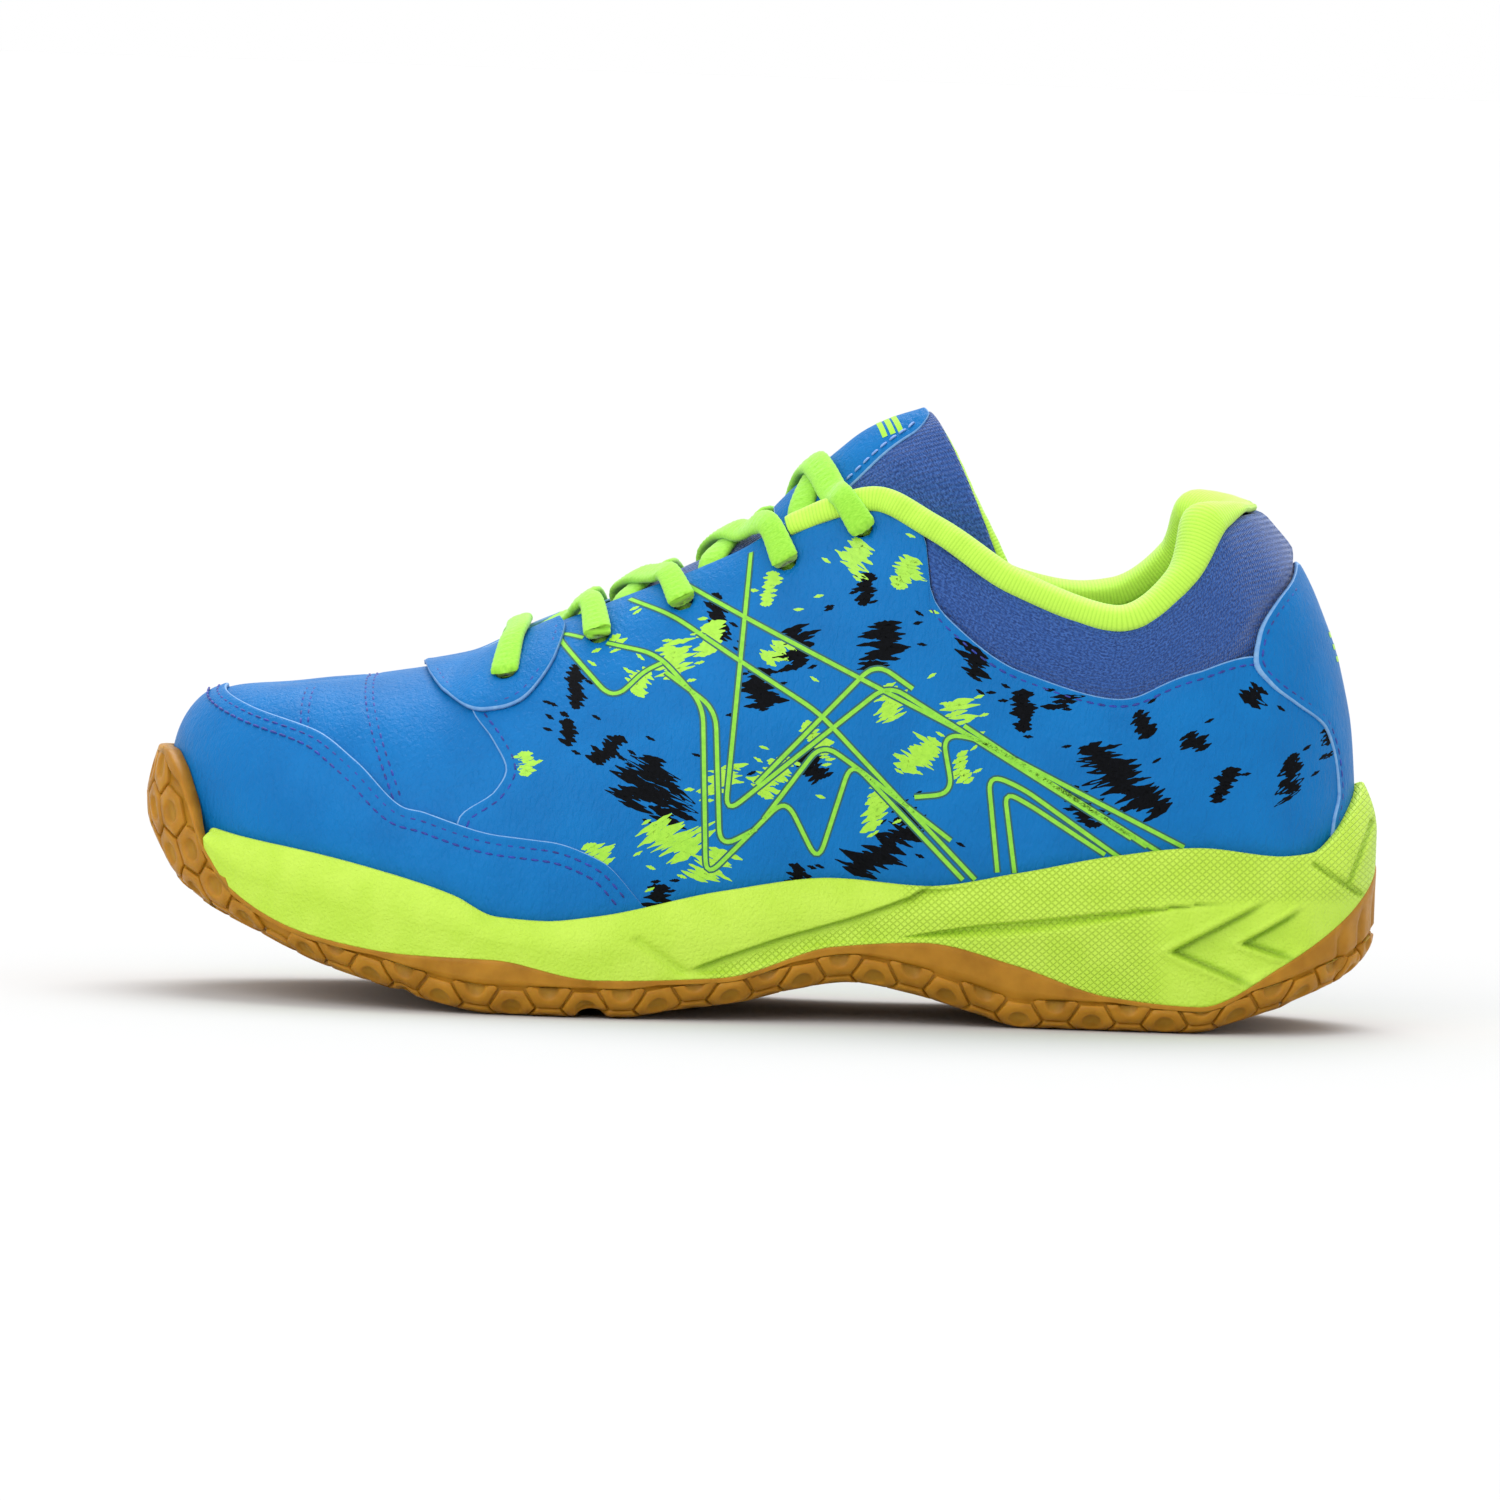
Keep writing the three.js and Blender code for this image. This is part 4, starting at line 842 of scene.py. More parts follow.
def lug(limit):
    """Rings of a hexagonal lug with a round pit: plan points no further out than the limit, and heights."""
    apothem = (LUG_RADIUS - LUG_GAP) * np.cos(np.pi / 6)
    hexagon = apothem / np.cos(LUG_ANGLES % (np.pi / 3) - np.pi / 6)
    plan = []
    heights = []
    for share, round_radius, height in LUG_RINGS:
        radius = np.minimum(hexagon * share if share else round_radius, limit)
        plan.append(np.stack([radius * np.cos(LUG_ANGLES), radius * np.sin(LUG_ANGLES)], -1))
        heights.append(np.full(len(LUG_ANGLES), height))
    return np.array(plan), np.array(heights)


def lug_meshes(made):
    """One mesh of many lugs, each the points of its rings."""
    return mapped_in_plan(np.concatenate(made), ring_faces(len(LUG_RINGS), len(LUG_ANGLES), len(made)))


def tread_outline():
    """Edge of the flat tread in plan."""
    q = np.linspace(-HEEL, HEEL, 361)[:-1]
    return feather_point(q) + outward(q) * 0.6


def inside(polygon, points):
    """Which plan points lie in a polygon."""
    a = polygon[None]
    b = np.roll(polygon, -1, axis=0)[None]
    x = points[:, None, 0]
    y = points[:, None, 1]
    crosses = (a[..., 1] > y) != (b[..., 1] > y)
    reach = a[..., 0] + (y - a[..., 1]) / (b[..., 1] - a[..., 1] + 1e-12) * (b - a)[..., 0]
    return (crosses & (x < reach)).sum(1) % 2 == 1


def room_in(outline, centre):
    """How far a lug can reach at each of its angles before the tread's edge."""
    steps = np.linspace(0.1, 1, 19) * LUG_RADIUS
    rays = np.stack([np.cos(LUG_ANGLES), np.sin(LUG_ANGLES)], -1)[:, None] * steps[:, None]
    kept = inside(outline, (centre + rays).reshape(-1, 2)).reshape(len(LUG_ANGLES), -1)
    return steps[np.maximum(kept.cumprod(1).sum(1) - 1, 0)]


def tread_lugs():
    """Lugs over the whole tread, in a honeycomb. Those cut to a sliver by its edge are left out."""
    outline = tread_outline()
    made = []
    for column in range(-17, 18):
        for row in range(-7, 8):
            centre = np.array([column * 1.5 * LUG_RADIUS, (row + (column % 2) / 2) * HEX_ROW])
            if not inside(outline, centre[None])[0]:
                continue
            plan, heights = lug(room_in(outline, centre))
            if np.linalg.norm(plan[2], axis=-1).mean() < LEAST_LUG:
                continue
            flat = centre + plan
            z = tread_height(flat[..., 0]) - heights
            made.append(np.concatenate([flat[:, ::-1], z[:, ::-1, None]], -1).reshape(-1, 3))
    return lug_meshes(made)


def wall_lugs():
    """Lugs round the wall, in place and height as on the tread."""
    q = np.linspace(-HEEL, HEEL, 3001)
    length = length_along(feather_point(q) + outward(q) * 5)
    columns = 2 * int(round(length[-1] / (3 * LUG_RADIUS)))
    made = []
    for column in range(columns):
        along = column * length[-1] / columns
        zone = float(lug_zone(np.interp(along, length, q)))
        for row in range(4):
            up = 4.4 + (2 * row - column % 2) * HEX_ROW / 2
            if up > zone + 1.5 or up < -2.5:
                continue
            plan, heights = lug(9.0)
            place = np.interp((along + plan[..., 0]) % length[-1], length, q)
            raised = np.clip(up + plan[..., 1], 0.1, zone)
            made.append(gum_wall(place, raised, heights).reshape(-1, 3))
    return lug_meshes(made)


def gum_outsole():
    """The gum cup and its lugs. Its columns run from the tread's middle line, up the wall and back inside."""
    q = -np.linspace(0, 2 * HEEL, 601)[:-1]
    s = fold(q)[1]
    bumper = toe_bumper(q)
    middle = spine(q)
    edge = feather_point(q) + outward(q) * 0.9
    rows = []
    for share in (0, 0.25, 0.5, 0.7, 0.85, 0.95, 1):
        flat = lerp(middle, edge, share)
        rows.append(np.concatenate([flat, (tread_height(flat[:, 0]) + LUG_DEPTH)[:, None]], -1))
    top = gum_wall_top(q)
    zone = lug_zone(q)
    for share in np.linspace(0.04, 1, 12):
        rows.append(gum_wall(q, zone * share, -LUG_DEPTH))
    for share in (0.12, 0.3, 0.55, 0.8, 0.95):
        rows.append(gum_wall(q, lerp(zone, top - 0.25, share), 0))
    rim = outsole_top(s)
    outer_top = lerp(WALL_OUT, BUMPER_OUT, bumper)
    inner = lerp(4.1, 1.2, bumper)
    rows.append(wall_point(q, rim, outer_top - 0.35))
    rows.append(wall_point(q, rim, inner))
    rows.append(wall_point(q, lerp(sole_base(q)[0] + 3.5, rim, 0.5), inner))
    bed_edge = feather_point(q) + outward(q) * lerp(3.4, 1.8, bumper)[:, None]
    for share in (1, 0.5, 0):
        flat = lerp(middle, bed_edge, share)
        high = np.minimum(tread_z(flat[:, 0]) + OUTSOLE_THICKNESS, bed_z(flat[:, 0]) - 1.8)
        rows.append(np.concatenate([flat, high[:, None]], -1))
    return joined([columns_solid(np.stack(rows, 1)), tread_lugs(), wall_lugs()])


def beside_line(x, z, stops):
    """Signed distance to a line through stops (positive on its right) and the share passed along it."""
    best = np.full(x.shape, 1e9)
    signed = np.zeros(x.shape)
    share = np.zeros(x.shape)
    lengths = [math.dist(a, b) for a, b in zip(stops, stops[1:])]
    for i, (a, b) in enumerate(zip(stops, stops[1:])):
        way = np.array([b[0] - a[0], b[1] - a[1]]) / lengths[i]
        along = np.clip((x - a[0]) * way[0] + (z - a[1]) * way[1], 0, lengths[i])
        dx = x - a[0] - along * way[0]
        dz = z - a[1] - along * way[1]
        distance = np.hypot(dx, dz)
        nearer = distance < best
        best = np.where(nearer, distance, best)
        cross = way[1] * dx - way[0] * dz
        signed = np.where(nearer, np.where(cross >= 0, distance, -distance), signed)
        share = np.where(nearer, (sum(lengths[:i]) + along) / sum(lengths), share)
    return signed, share


# Lines of the midsole's wall in side view, (x, z). A chevron is its low end, tip, high end and depth.
CREASE = [(-16.5, 11.6), (-7.8, 15), (3.9, 19.3), (20.9, 24.5), (28.5, 27.3), (35.3, 30), (40, 33)]
LEDGE = [(31.4, 20.2), (41.6, 22.2), (51.9, 23.9), (70.4, 26.2), (80.3, 27.6), (103, 30.5), (112, 31)]
LEDGE_FOOT = [(31.4, 20.2), (56.5, 21.4), (70.5, 23.5), (98.2, 29.4), (112, 31)]
CHEVRONS = [((117.4, 10.4), (96.4, 19.1), (116.1, 30), 3.0),
            ((126.2, 17.2), (113.4, 21.3), (125.5, 28.7), 2.6)]
FRONT_GROOVE = [(-28.1, 18.2), (-14.8, 9.2)]
HEEL_CREASES = [[(129.5, 39.8), (143.5, 30.8)], [(143.5, 49), (138, 35.5)]]


def long_crease(x, z):
    """The step that runs from the arch's foot up to the rear, and the painted shade along its edge."""
    signed, share = beside_line(x, z, CREASE)
    ends = smoothstep(share, 0, 0.08)
    pressed = 2.3 * ends * smoothstep(signed, -0.3, 0.3) * np.exp(-np.maximum(signed, 0) / 5.5)
    return pressed, np.exp(-(signed / 0.55) ** 2) * ends


def ledge(x, z):
    """A shelf that fades in at the arch and out at the heel. It gets no painted shade."""
    high = np.interp(x, *zip(*LEDGE))
    low = np.interp(x, *zip(*LEDGE_FOOT))
    below = (high - z) / np.maximum(high - low, 0.6)
    along = smoothstep(x, 31, 44) * (1 - smoothstep(x, 96, 112))
    return 2.3 * along * smoothstep(below, -0.08, 0.12) * (1 - smoothstep(below, 0.25, 1.25)), 0


def chevron(x, z, low_end, tip, high_end, depth):
    """A V that opens to the heel, pressed in between its arms, with a groove and a lip along them."""
    low_arm = tip[1] + (low_end[1] - tip[1]) / (low_end[0] - tip[0]) * (x - tip[0])
    high_arm = tip[1] + (high_end[1] - tip[1]) / (high_end[0] - tip[0]) * (x - tip[0])
    within = np.minimum(z - low_arm, high_arm - z) * 0.85
    away = np.clip((x - tip[0]) / (low_end[0] - tip[0]), 0, 2)
    arms = (1 - smoothstep(away, 0.8, 1.05)) * (x > tip[0] - 3)
    groove_line = np.exp(-((within - 0.2) / 0.6) ** 2) * arms
    lip = np.exp(-((within + 1.2) / 0.6) ** 2) * arms
    hollow = smoothstep(within, -0.3, 0.3) * (1 - smoothstep(away, 0.35, 1.25))
    # The second value, groove_line, is painted shade along the groove.
    return depth * hollow + 0.7 * groove_line - 0.5 * lip, groove_line


def straight_groove(x, z, points, depth, width, dark):
    # The second value is painted shade along the groove, scaled by dark.
    signed, _ = beside_line(x, z, points)
    return depth * np.exp(-(signed / width) ** 2), dark * np.exp(-(signed / 0.5) ** 2)


def sculpture(x, z):
    """How far the midsole's wall is pressed in by its moulded lines, and how much painted shade lies along
    them.
    """
    marks = [long_crease(x, z), ledge(x, z)]
    marks += [chevron(x, z, *each) for each in CHEVRONS]
    marks.append(straight_groove(x, z, FRONT_GROOVE, 1.0, 1.1, 0))
    marks += [straight_groove(x, z, each, 1.2, 0.6, 1) for each in HEEL_CREASES]
    return sum(mark[0] for mark in marks), np.clip(sum(mark[1] for mark in marks), 0, 1)


def lime_midsole():
    """The foam cup, in columns from its underside, up its sculpted wall and over the rim to the bed."""
    q = -np.linspace(0, 2 * HEEL, 1201)[:-1]
    s = fold(q)[1]
    bumper = toe_bumper(q)
    bed = bed_z(feather_point(q)[:, 0])
    rim = lerp(midsole_rim(s), bed, bumper)
    foot = np.minimum(outsole_top(s), rim - 4) - 0.1
    out_of = outward(q)
    rows = []
    low_edge = feather_point(q) + out_of * lerp(2.6, -3, bumper)[:, None]
    middle = spine(q)
    for share in (0, 0.5, 0.75, 0.9, 1):
        flat = lerp(middle, low_edge, share)
        underside = np.maximum(tread_z(flat[:, 0]) + 4.1, lerp(0, sole_base(q)[0] + 3.2, share ** 4))
        rows.append(np.concatenate([flat, underside[:, None]], -1))
    rows.append(wall_point(q, foot - 0.7, lerp(4.2, -2.5, bumper)))
    for share in np.linspace(0, 1, 62):
        out = WALL_OUT - 0.25 - 2.9 * np.clip((share - 0.45) / 0.55, 0, 1) ** 1.7
        hidden_out = lerp(-2.5, 1.0, min(2 * share, 1))
        point = wall_point(q, lerp(foot, rim - 0.5, share), lerp(out, hidden_out, bumper ** 0.5))
        pressed = sculpture(point[:, 0], point[:, 2])[0] * (1 - bumper) * smoothstep(1 - share, 0, 0.06)
        point[:, :2] -= out_of * (pressed * smoothstep(share, 0.02, 0.1))[:, None]
        rows.append(point)
    for height, out in ((-0.15, 3.05), (0.1, 2.6), (0.05, 1.9), (-0.35, 0.9), (-1.2, 0.2)):
        rows.append(wall_point(q, rim + height, lerp(out, 0.4, bumper)))
    rows.append(wall_point(q, (rim + bed) / 2 - 1, 0.1))
    bed_edge = feather_point(q)
    for share in (1, 0.5, 0):
        flat = lerp(middle, bed_edge, share)
        rows.append(np.concatenate([flat, (bed_z(flat[:, 0]) - 0.6)[:, None]], -1))
    return columns_solid(np.stack(rows, 1))


def hatch_share(points):
    """Where the midsole's wall carries the cross-hatch: behind the crease and over the rear quarter."""
    x = points[:, 0]
    z = points[:, 2]
    signed, _ = beside_line(x, z, CREASE)
    rear = smoothstep(x, 30, 36)
    chevrons = smoothstep(x, 88, 100) * (1 - smoothstep(z, 29, 33))
    return np.clip(smoothstep(signed, 0.5, 2.5) * smoothstep(x, -16, -8) + rear, 0, 1) * (1 - chevrons)


add_piece("gum_outsole", gum_outsole(), [GUM], replaces=["outsole"])
midsole_made = lime_midsole()
midsole = add_piece("lime_midsole", midsole_made, [LIME_FOAM], replaces=["midsole"])
midsole_points = midsole_made[0]
# Painted shade along the moulded grooves, carried to the foam by the crease attribute.
groove_shade_share = sculpture(midsole_points[:, 0], midsole_points[:, 2])[1]
for attribute, values in (("hatch", hatch_share(midsole_points)), ("crease_shade", groove_shade_share)):
    midsole.data.attributes.new(attribute, "FLOAT", "POINT").data.foreach_set("value", values)


# ---------------------------------------------------------------- upper

def leather_skin(skin, lines, seed):
    """Outer distance of a leather panel: its skin, soft waves, and the pull of its stitches."""
    def distance(q, t, points):
        pulled = groove(points, lines) if lines else 0
        return skin + relief(points, 16, 0.12, seed) - pulled
    return distance


def add_leather(name, made, node):
    return add_piece(name, made, [BLUE, BLUE_EDGE], replaces=[node])


def eyelet_holes(side, count=len(EYELETS)):
    return [(surface(side * s, t), EYELET_RADIUS - 0.2) for s, t in EYELETS[:count]]


q_cap = np.linspace(-6.3, 6.3, 500)
cap_edge = toe_cap_edge(np.abs(q_cap))
cap_rows = [route(q_cap, cap_edge, inset, OVERLAY_SKIN - ROW_SUNK) for inset in (2.2, 4.7)]
cap_ends = spread(-6.46, 6.46, 300, 0.02)[:, None]
cap_shares = spread(0, 1, 44, 0.012)[None]
cap_skin = leather_skin(OVERLAY_SKIN, cap_rows, 1)
cap_patch = upper_patch(cap_ends, cap_shares * toe_cap_edge(np.abs(cap_ends)), cap_skin, OVERLAY_BACK)
add_leather("toe_cap_skin", sheet([cap_patch]), "toe_cap")

VAMP_LINES = [[(2.08, 0.68), (2.32, 0.52), (2.48, 0.41), (2.56, 0.36)],
              [(2.48, 0.99), (3.09, 0.54), (3.34, 0.40), (3.51, 0.32), (3.70, 0.24)]]
vamp_rows = []
for side in SIDES.values():
    for pairs in VAMP_LINES:
        s, t = dense_line(pairs)
        for inset in (-0.9, 0.9):
            vamp_rows.append(route(side * s, t, inset, VAMP_SKIN - 0.1))
t_vamp = np.linspace(0, 1, 64)[None]
q_vamp = np.linspace(-1, 1, 230)[:, None] * (quarter_front(t_vamp) + 0.05)
vamp_patch = upper_patch(q_vamp, t_vamp, leather_skin(VAMP_SKIN, vamp_rows, 2), -1.4)
add_piece("vamp_skin", sheet([vamp_patch]), [BLUE], replaces=["vamp"])

quarter_rows = []
quarters = {}
for side_name, side in SIDES.items():
    t_front = np.linspace(0.02, 0.97, 200)
    s_eye = np.linspace(4.5, 8.45, 120)
    s_top = np.linspace(9.02, 14.8, 300)
    rows = []
    for s, t, inset in ((quarter_front(t_front) - 0.06, t_front, 1.8), (s_eye, np.ones_like(s_eye), 2.4),
                        (s_top, quarter_top(s_top), 1.6)):
        rows.append(route(side * s, t, side * inset, QUARTER_SKIN - ROW_SUNK))
    quarter_rows += rows
    heights = spread(0, 1, 66, 0.006)[None]
    front = quarter_front(heights) - 0.09
    s = front + spread(0, 1, 210, 0.002)[:, None] * (HEEL - front)
    t = heights * np.minimum(quarter_top(s) + 0.004, 1)
    quarter_patch = upper_patch(side * s, t, leather_skin(QUARTER_SKIN, rows, 3 + side), -0.55)
    quarter_sheet = sheet([quarter_patch], eyelet_holes(side))
    quarters[side] = add_leather(f"quarter_skin_{side_name}", quarter_sheet, f"quarter_{side_name}")

s_throat, t_throat = dense_line(THROAT_OVERLAY, 200)
throat_rows = []
for side in SIDES.values():
    throat_rows.append(route(side * s_throat, t_throat, -side * 1.9, THROAT_SKIN - ROW_SUNK))
along = spread(0, 1, 120, 0.004)
inward_share = spread(0, 1, 40, 0.012)[None]
edge_place = along * (len(THROAT_OVERLAY) - 1)
s, t = (smooth_curve(list(enumerate(values)))(edge_place)[:, None] for values in zip(*THROAT_OVERLAY))
s_ridge = lerp(THROAT_OVERLAY[0][0], THROAT_OVERLAY[-1][0], along[:, None])
throat_patches = []
for side in SIDES.values():
    throat_patches.append(upper_patch(side * lerp(s, s_ridge, inward_share), lerp(t, 1, inward_share),
                                      leather_skin(THROAT_SKIN, throat_rows, 5), 0.3))
throat_holes = eyelet_holes(LATERAL, 1) + eyelet_holes(MEDIAL, 1)
add_leather("throat_overlay_skin", sheet(throat_patches, throat_holes), "throat_overlay")

heel_rows = []
for side in SIDES.values():
    t_row = np.linspace(0.02, 0.8, 160)
    heel_rows.append(route(side * heel_panel_front(t_row), t_row, side * 2.0, OVERLAY_SKIN - ROW_SUNK))
t_heel = spread(0, 0.84, 70, 0.006)[None]
q_heel = -HEEL + spread(-1, 1, 70, 0.03)[:, None] * (HEEL - heel_panel_front(t_heel))
heel_skin = leather_skin(OVERLAY_SKIN, heel_rows, 6)
add_leather("heel_panel_skin", sheet([upper_patch(q_heel, t_heel, heel_skin, OVERLAY_BACK)]), "heel_panel")


def puffed(q, t, points):
    """The knit panel swells over the padding behind it."""
    s = fold(q)[1]
    low = quarter_top(s) - 0.03
    share = np.clip((t - low) / (0.97 - low), 0, 1)
    swollen = 1.9 * np.sin(np.pi * share) ** 0.7 * smoothstep(s, 9.1, 10.2) + relief(points, 11, 0.18, 8)
    under_heel = smoothstep(s - heel_panel_front(t), -0.5, 0) * (1 - smoothstep(t, 0.83, 0.88))
    tucked = 1 - smoothstep(t - quarter_top(s), 0, 0.04)
    return KNIT_SKIN + swollen * (1 - under_heel) - 0.6 * under_heel - tucked


for side_name, side in SIDES.items():
    s = np.linspace(8.86, HEEL, 154)[:, None]
    t = lerp(quarter_top(s) - 0.03, 0.97, np.linspace(0, 1, 30)[None])
    knit_patch = upper_patch(side * s, t, puffed, PADDING_OUT)
    add_piece(f"collar_knit_{side_name}", sheet([knit_patch]), [KNIT],
              replaces=[f"collar_panel_{side_name}"])


def padding_face(q, t, points):
    return 1.2 - lining_depth(q, t)


def lining_back(q, t, points):
    return -lining_depth(q, t)


def lining_face(q, t, points):
    """Inner distance of the lining, quilted softly where it is padded."""
    quilted = 0.5 * padded_share(q, t) * np.sin(np.pi * smoothstep(t, 0.6, 0.97))
    return -lining_depth(q, t) - 0.9 - quilted - relief(points, 14, 0.15, 9)


q_padding = np.linspace(-20, -10, 120)[:, None]
padding_patch = upper_patch(q_padding, np.linspace(0.62, 0.935, 16)[None], PADDING_OUT, padding_face)
add_piece("collar_padding", sheet([padding_patch], soften=1.0), [FOAM], replaces=["collar_foam"])

lining_top = smooth_curve([(4.4, 0.5), (5, 0.6), (6, 0.64), (8, 0.6), (8.7, 0.66), (9.1, 0.82), (9.6, 0.955),
                           (15, 0.955)])
q_lining = np.linspace(-25.6, -4.4, 330)[:, None]
t_lining = np.linspace(0, 1, 60)[None] * lining_top(fold(q_lining)[1])
lining_patch = upper_patch(q_lining, t_lining, lining_back, lining_face)
add_piece("collar_lining", sheet([lining_patch]), [LIME_MESH], replaces=["quarter_lining"])

q_puff = np.linspace(-2.5, 2.5, 41)[:, None]
puff_patch = upper_patch(q_puff, np.linspace(0, 1, 24)[None], STIFFENER_OUT, STIFFENER_IN)
add_piece("toe_puff_shell", sheet([puff_patch]), [STIFFENER], replaces=["toe_puff"])

strip_low = smooth_curve([(4.4, 0.55), (6, 0.72), (8.6, 0.8)])
for side_name, side in SIDES.items():
    s = np.linspace(4.55, 8.6, 60)[:, None]
    t = lerp(strip_low(s), 0.965, np.linspace(0, 1, 12)[None])
    strip_patch = upper_patch(side * s, t, STIFFENER_OUT, STIFFENER_IN)
    add_piece(f"eyestay_strip_{side_name}", sheet([strip_patch], eyelet_holes(side)), [BACKING],
              replaces=[f"eyestay_backer_{side_name}"])

q_front = np.linspace(-4.3, 4.3, 130)[:, None]
front_patch = upper_patch(q_front, np.linspace(0, 1, 40)[None], VAMP_LINING_OUT, VAMP_LINING_IN)
add_piece("vamp_lining_skin", sheet([front_patch]), [LIME_MESH], replaces=["vamp_lining"])


def binding_sections(q):
    """Section of the folded tape at each place: round over the top, open below."""
    s = fold(q)[1]
    outer = lerp(0.35, -1.5, smoothstep(s, 12.9, 14.4))
    inner = -1.8 - (lining_depth(q, 1.0) - 0.3) * smoothstep(s, 8.5, 9.0)
    centre = (outer + inner) / 2
    half = (outer - inner) / 2
    front = 1 - smoothstep(s, 8.7, 10.4)
    length = np.abs(q) * STATION_LENGTH
    wrinkle = 0.3 * front * np.sin(length / 1.05 + 0.8 * np.sin(length / 5)) + 0.12 * np.sin(length / 3.1)
    hump = 2.6 * np.exp(-((s - 12.9) / 0.6) ** 2)
    band = 1 - 0.5 * smoothstep(s, 12.9, 14)
    flat = np.ones_like(s)
    loops = []
    for thickness, up, ripple in ((1.05, 1.5, wrinkle), (0.1, 0.5, 0)):
        swollen = half + thickness + ripple
        loop = [(-5.6 * flat, centre - swollen + 0.5), (-4.2 * flat, centre - swollen - 0.1),
                (-2.6 * flat, centre - swollen - 0.15)]
        for turn in np.linspace(-np.pi / 2, np.pi / 2, 13):
            loop.append((-1.6 + (up + 1.6 + hump) * np.cos(turn), centre + swollen * np.sin(turn)))
        loop += [(-2.6 * band, centre + swollen + 0.15), (-4.0 * band, centre + swollen + 0.05),
                 (-4.9 * band, centre + swollen - 0.6)]
        loops.append(loop)
    outside, hollow = loops
    return np.moveaxis(np.array(outside + hollow[::-1]), -1, 0)


def frames_along(points, outs):
    """Directions across and out at each point of a line."""
    forward = unit(np.gradient(points, axis=0))
    out = unit(outs - forward * (outs * forward).sum(-1, keepdims=True))
    return np.cross(out, forward), out


q_tape = -np.linspace(BINDING_FRONT, 2 * HEEL - BINDING_FRONT, 660)
tape_points = surface(q_tape, 1.0)
tape_frames = frames_along(tape_points, surface_normal(q_tape, 0.97))
add_piece("collar_tape", sweep(tape_points, *tape_frames, binding_sections(q_tape)), [LIME_TAPE],
          replaces=["collar_binding"])


# ---------------------------------------------------------------- tongue

tongue_curves = {key: smooth_curve(list(enumerate(values))) for key, values in TONGUE.items()}


def tongue_point(a, b):
    """Outside of the tongue: a from 0 at its sewn base to 6 at its top, b from -1 to 1 across it."""
    a, b = np.broadcast_arrays(np.asarray(a, float), np.asarray(b, float))
    turn = np.abs(b) * TONGUE_TURN
    fall = 1 - np.cos(turn)
    half = np.where(b < 0, tongue_curves["lateral"](a), tongue_curves["medial"](a))
    return np.stack([
        tongue_curves["x"](a) + tongue_curves["sweep"](a) * fall ** 0.7,
        ridge_y(4 + 0.8 * a) + np.sign(b) * half * np.sin(turn),
        tongue_curves["z"](a) - tongue_curves["drop"](a) * fall ** 0.9,
    ], -1)


def tongue_normal(a, b, step=0.01):
    a = np.clip(np.asarray(a, float), 0.02, TONGUE_END - 0.02)
    b = np.asarray(b, float)
    along = tongue_point(a + step, b) - tongue_point(a - step, b)
    return unit(np.cross(along, tongue_point(a, b + step) - tongue_point(a, b - step)))


def tongue_depth(b):
    """How thick the tongue is, down to the inside of its padding."""
    return 7 - 3.2 * np.abs(b) ** 3


def tongue_patch(a, b, outer, inner, half=lambda a: 1.0):
    """Patch of the tongue. outer and inner are numbers, or functions of (a, b, points); half(a) scales b."""
    a, b = np.broadcast_arrays(a[:, None], b[None])
    b = b * half(a)
    points = tongue_point(a, b)
    uv = np.stack([a * TONGUE_STEP, b * TONGUE_HALF_GIRTH], -1) * MM
    faces = [face_distance(value, a, b, points) for value in (outer, inner)]
    return patch(points, uv, *faces, flip=True)


def tongue_route(a, b, inset, lift):
    points = tongue_point(a, b)
    normals = tongue_normal(a, b)
    forward = unit(np.gradient(points, axis=0))
    return even(points + np.cross(normals, forward) * inset + normals * lift, normals, STITCH_PITCH)


def tongue_face_half(a):
    """Half the leather face's width, as a share of the tongue's. It narrows upward and has round ends."""
    narrowed = TONGUE_FACE_HALF * lerp(1, 0.5, smoothstep(a, 3.6, TONGUE_END))
    round_top = np.sqrt(1 - np.clip((a - 5.4) / 0.6, 0, 1) ** 2)
    round_foot = np.sqrt(1 - np.clip((3.7 - a) / 0.4, 0, 1) ** 2)
    return narrowed * np.minimum(round_top, round_foot)


a_side = np.linspace(3.5, 5.7, 160)
face_rows = [tongue_route(a_side, -tongue_face_half(a_side), 2.0, 0.2),
             tongue_route(a_side, tongue_face_half(a_side), -2.0, 0.2)]


def tongue_face_skin(a, b, points):
    rounded = 0.9 * np.cos(np.clip(b / tongue_face_half(a), -1, 1) * np.pi / 2)
    return -0.2 + rounded * 0.5 + relief(points, 12, 0.15, 11) - groove(points, face_rows)


def tongue_knit_skin(a, b, points):
    return -1.1 + 0.5 * np.sin(np.pi * np.abs(b)) + relief(points, 9, 0.2, 12)


def tongue_padding_face(a, b, points):
    return 0.5 - tongue_depth(b)


def tongue_lining_back(a, b, points):
    return -tongue_depth(b) - 0.2


def tongue_lining_face(a, b, points):
    return -tongue_depth(b) - 1.2 - relief(points, 9, 0.15, 13)


def add_tongue_piece(name, made, looks, node):
    return add_piece(name, made, looks, body="tongue", replaces=[node])


face_patch = tongue_patch(spread(3.34, 5.94, 60, 0.02), spread(-1, 1, 30, 0.03), tongue_face_skin, -0.9,
                          tongue_face_half)
add_tongue_piece("tongue_face_skin", sheet([face_patch]), [BLUE, BLUE_EDGE], "tongue_face")
knit_patch = tongue_patch(np.linspace(0, TONGUE_END, 120), np.linspace(-1, 1, 80), tongue_knit_skin, -2.3)
add_tongue_piece("tongue_knit_skin", sheet([knit_patch]), [KNIT], "tongue_knit")
padding_patch = tongue_patch(np.linspace(0.4, 5.85, 60), np.linspace(-0.95, 0.95, 40), -2.8,
                             tongue_padding_face)
add_tongue_piece("tongue_padding", sheet([padding_patch], soften=0.8), [FOAM], "tongue_foam")
lining_patch = tongue_patch(np.linspace(0, TONGUE_END, 90), np.linspace(-1, 1, 60), tongue_lining_back,
                            tongue_lining_face)
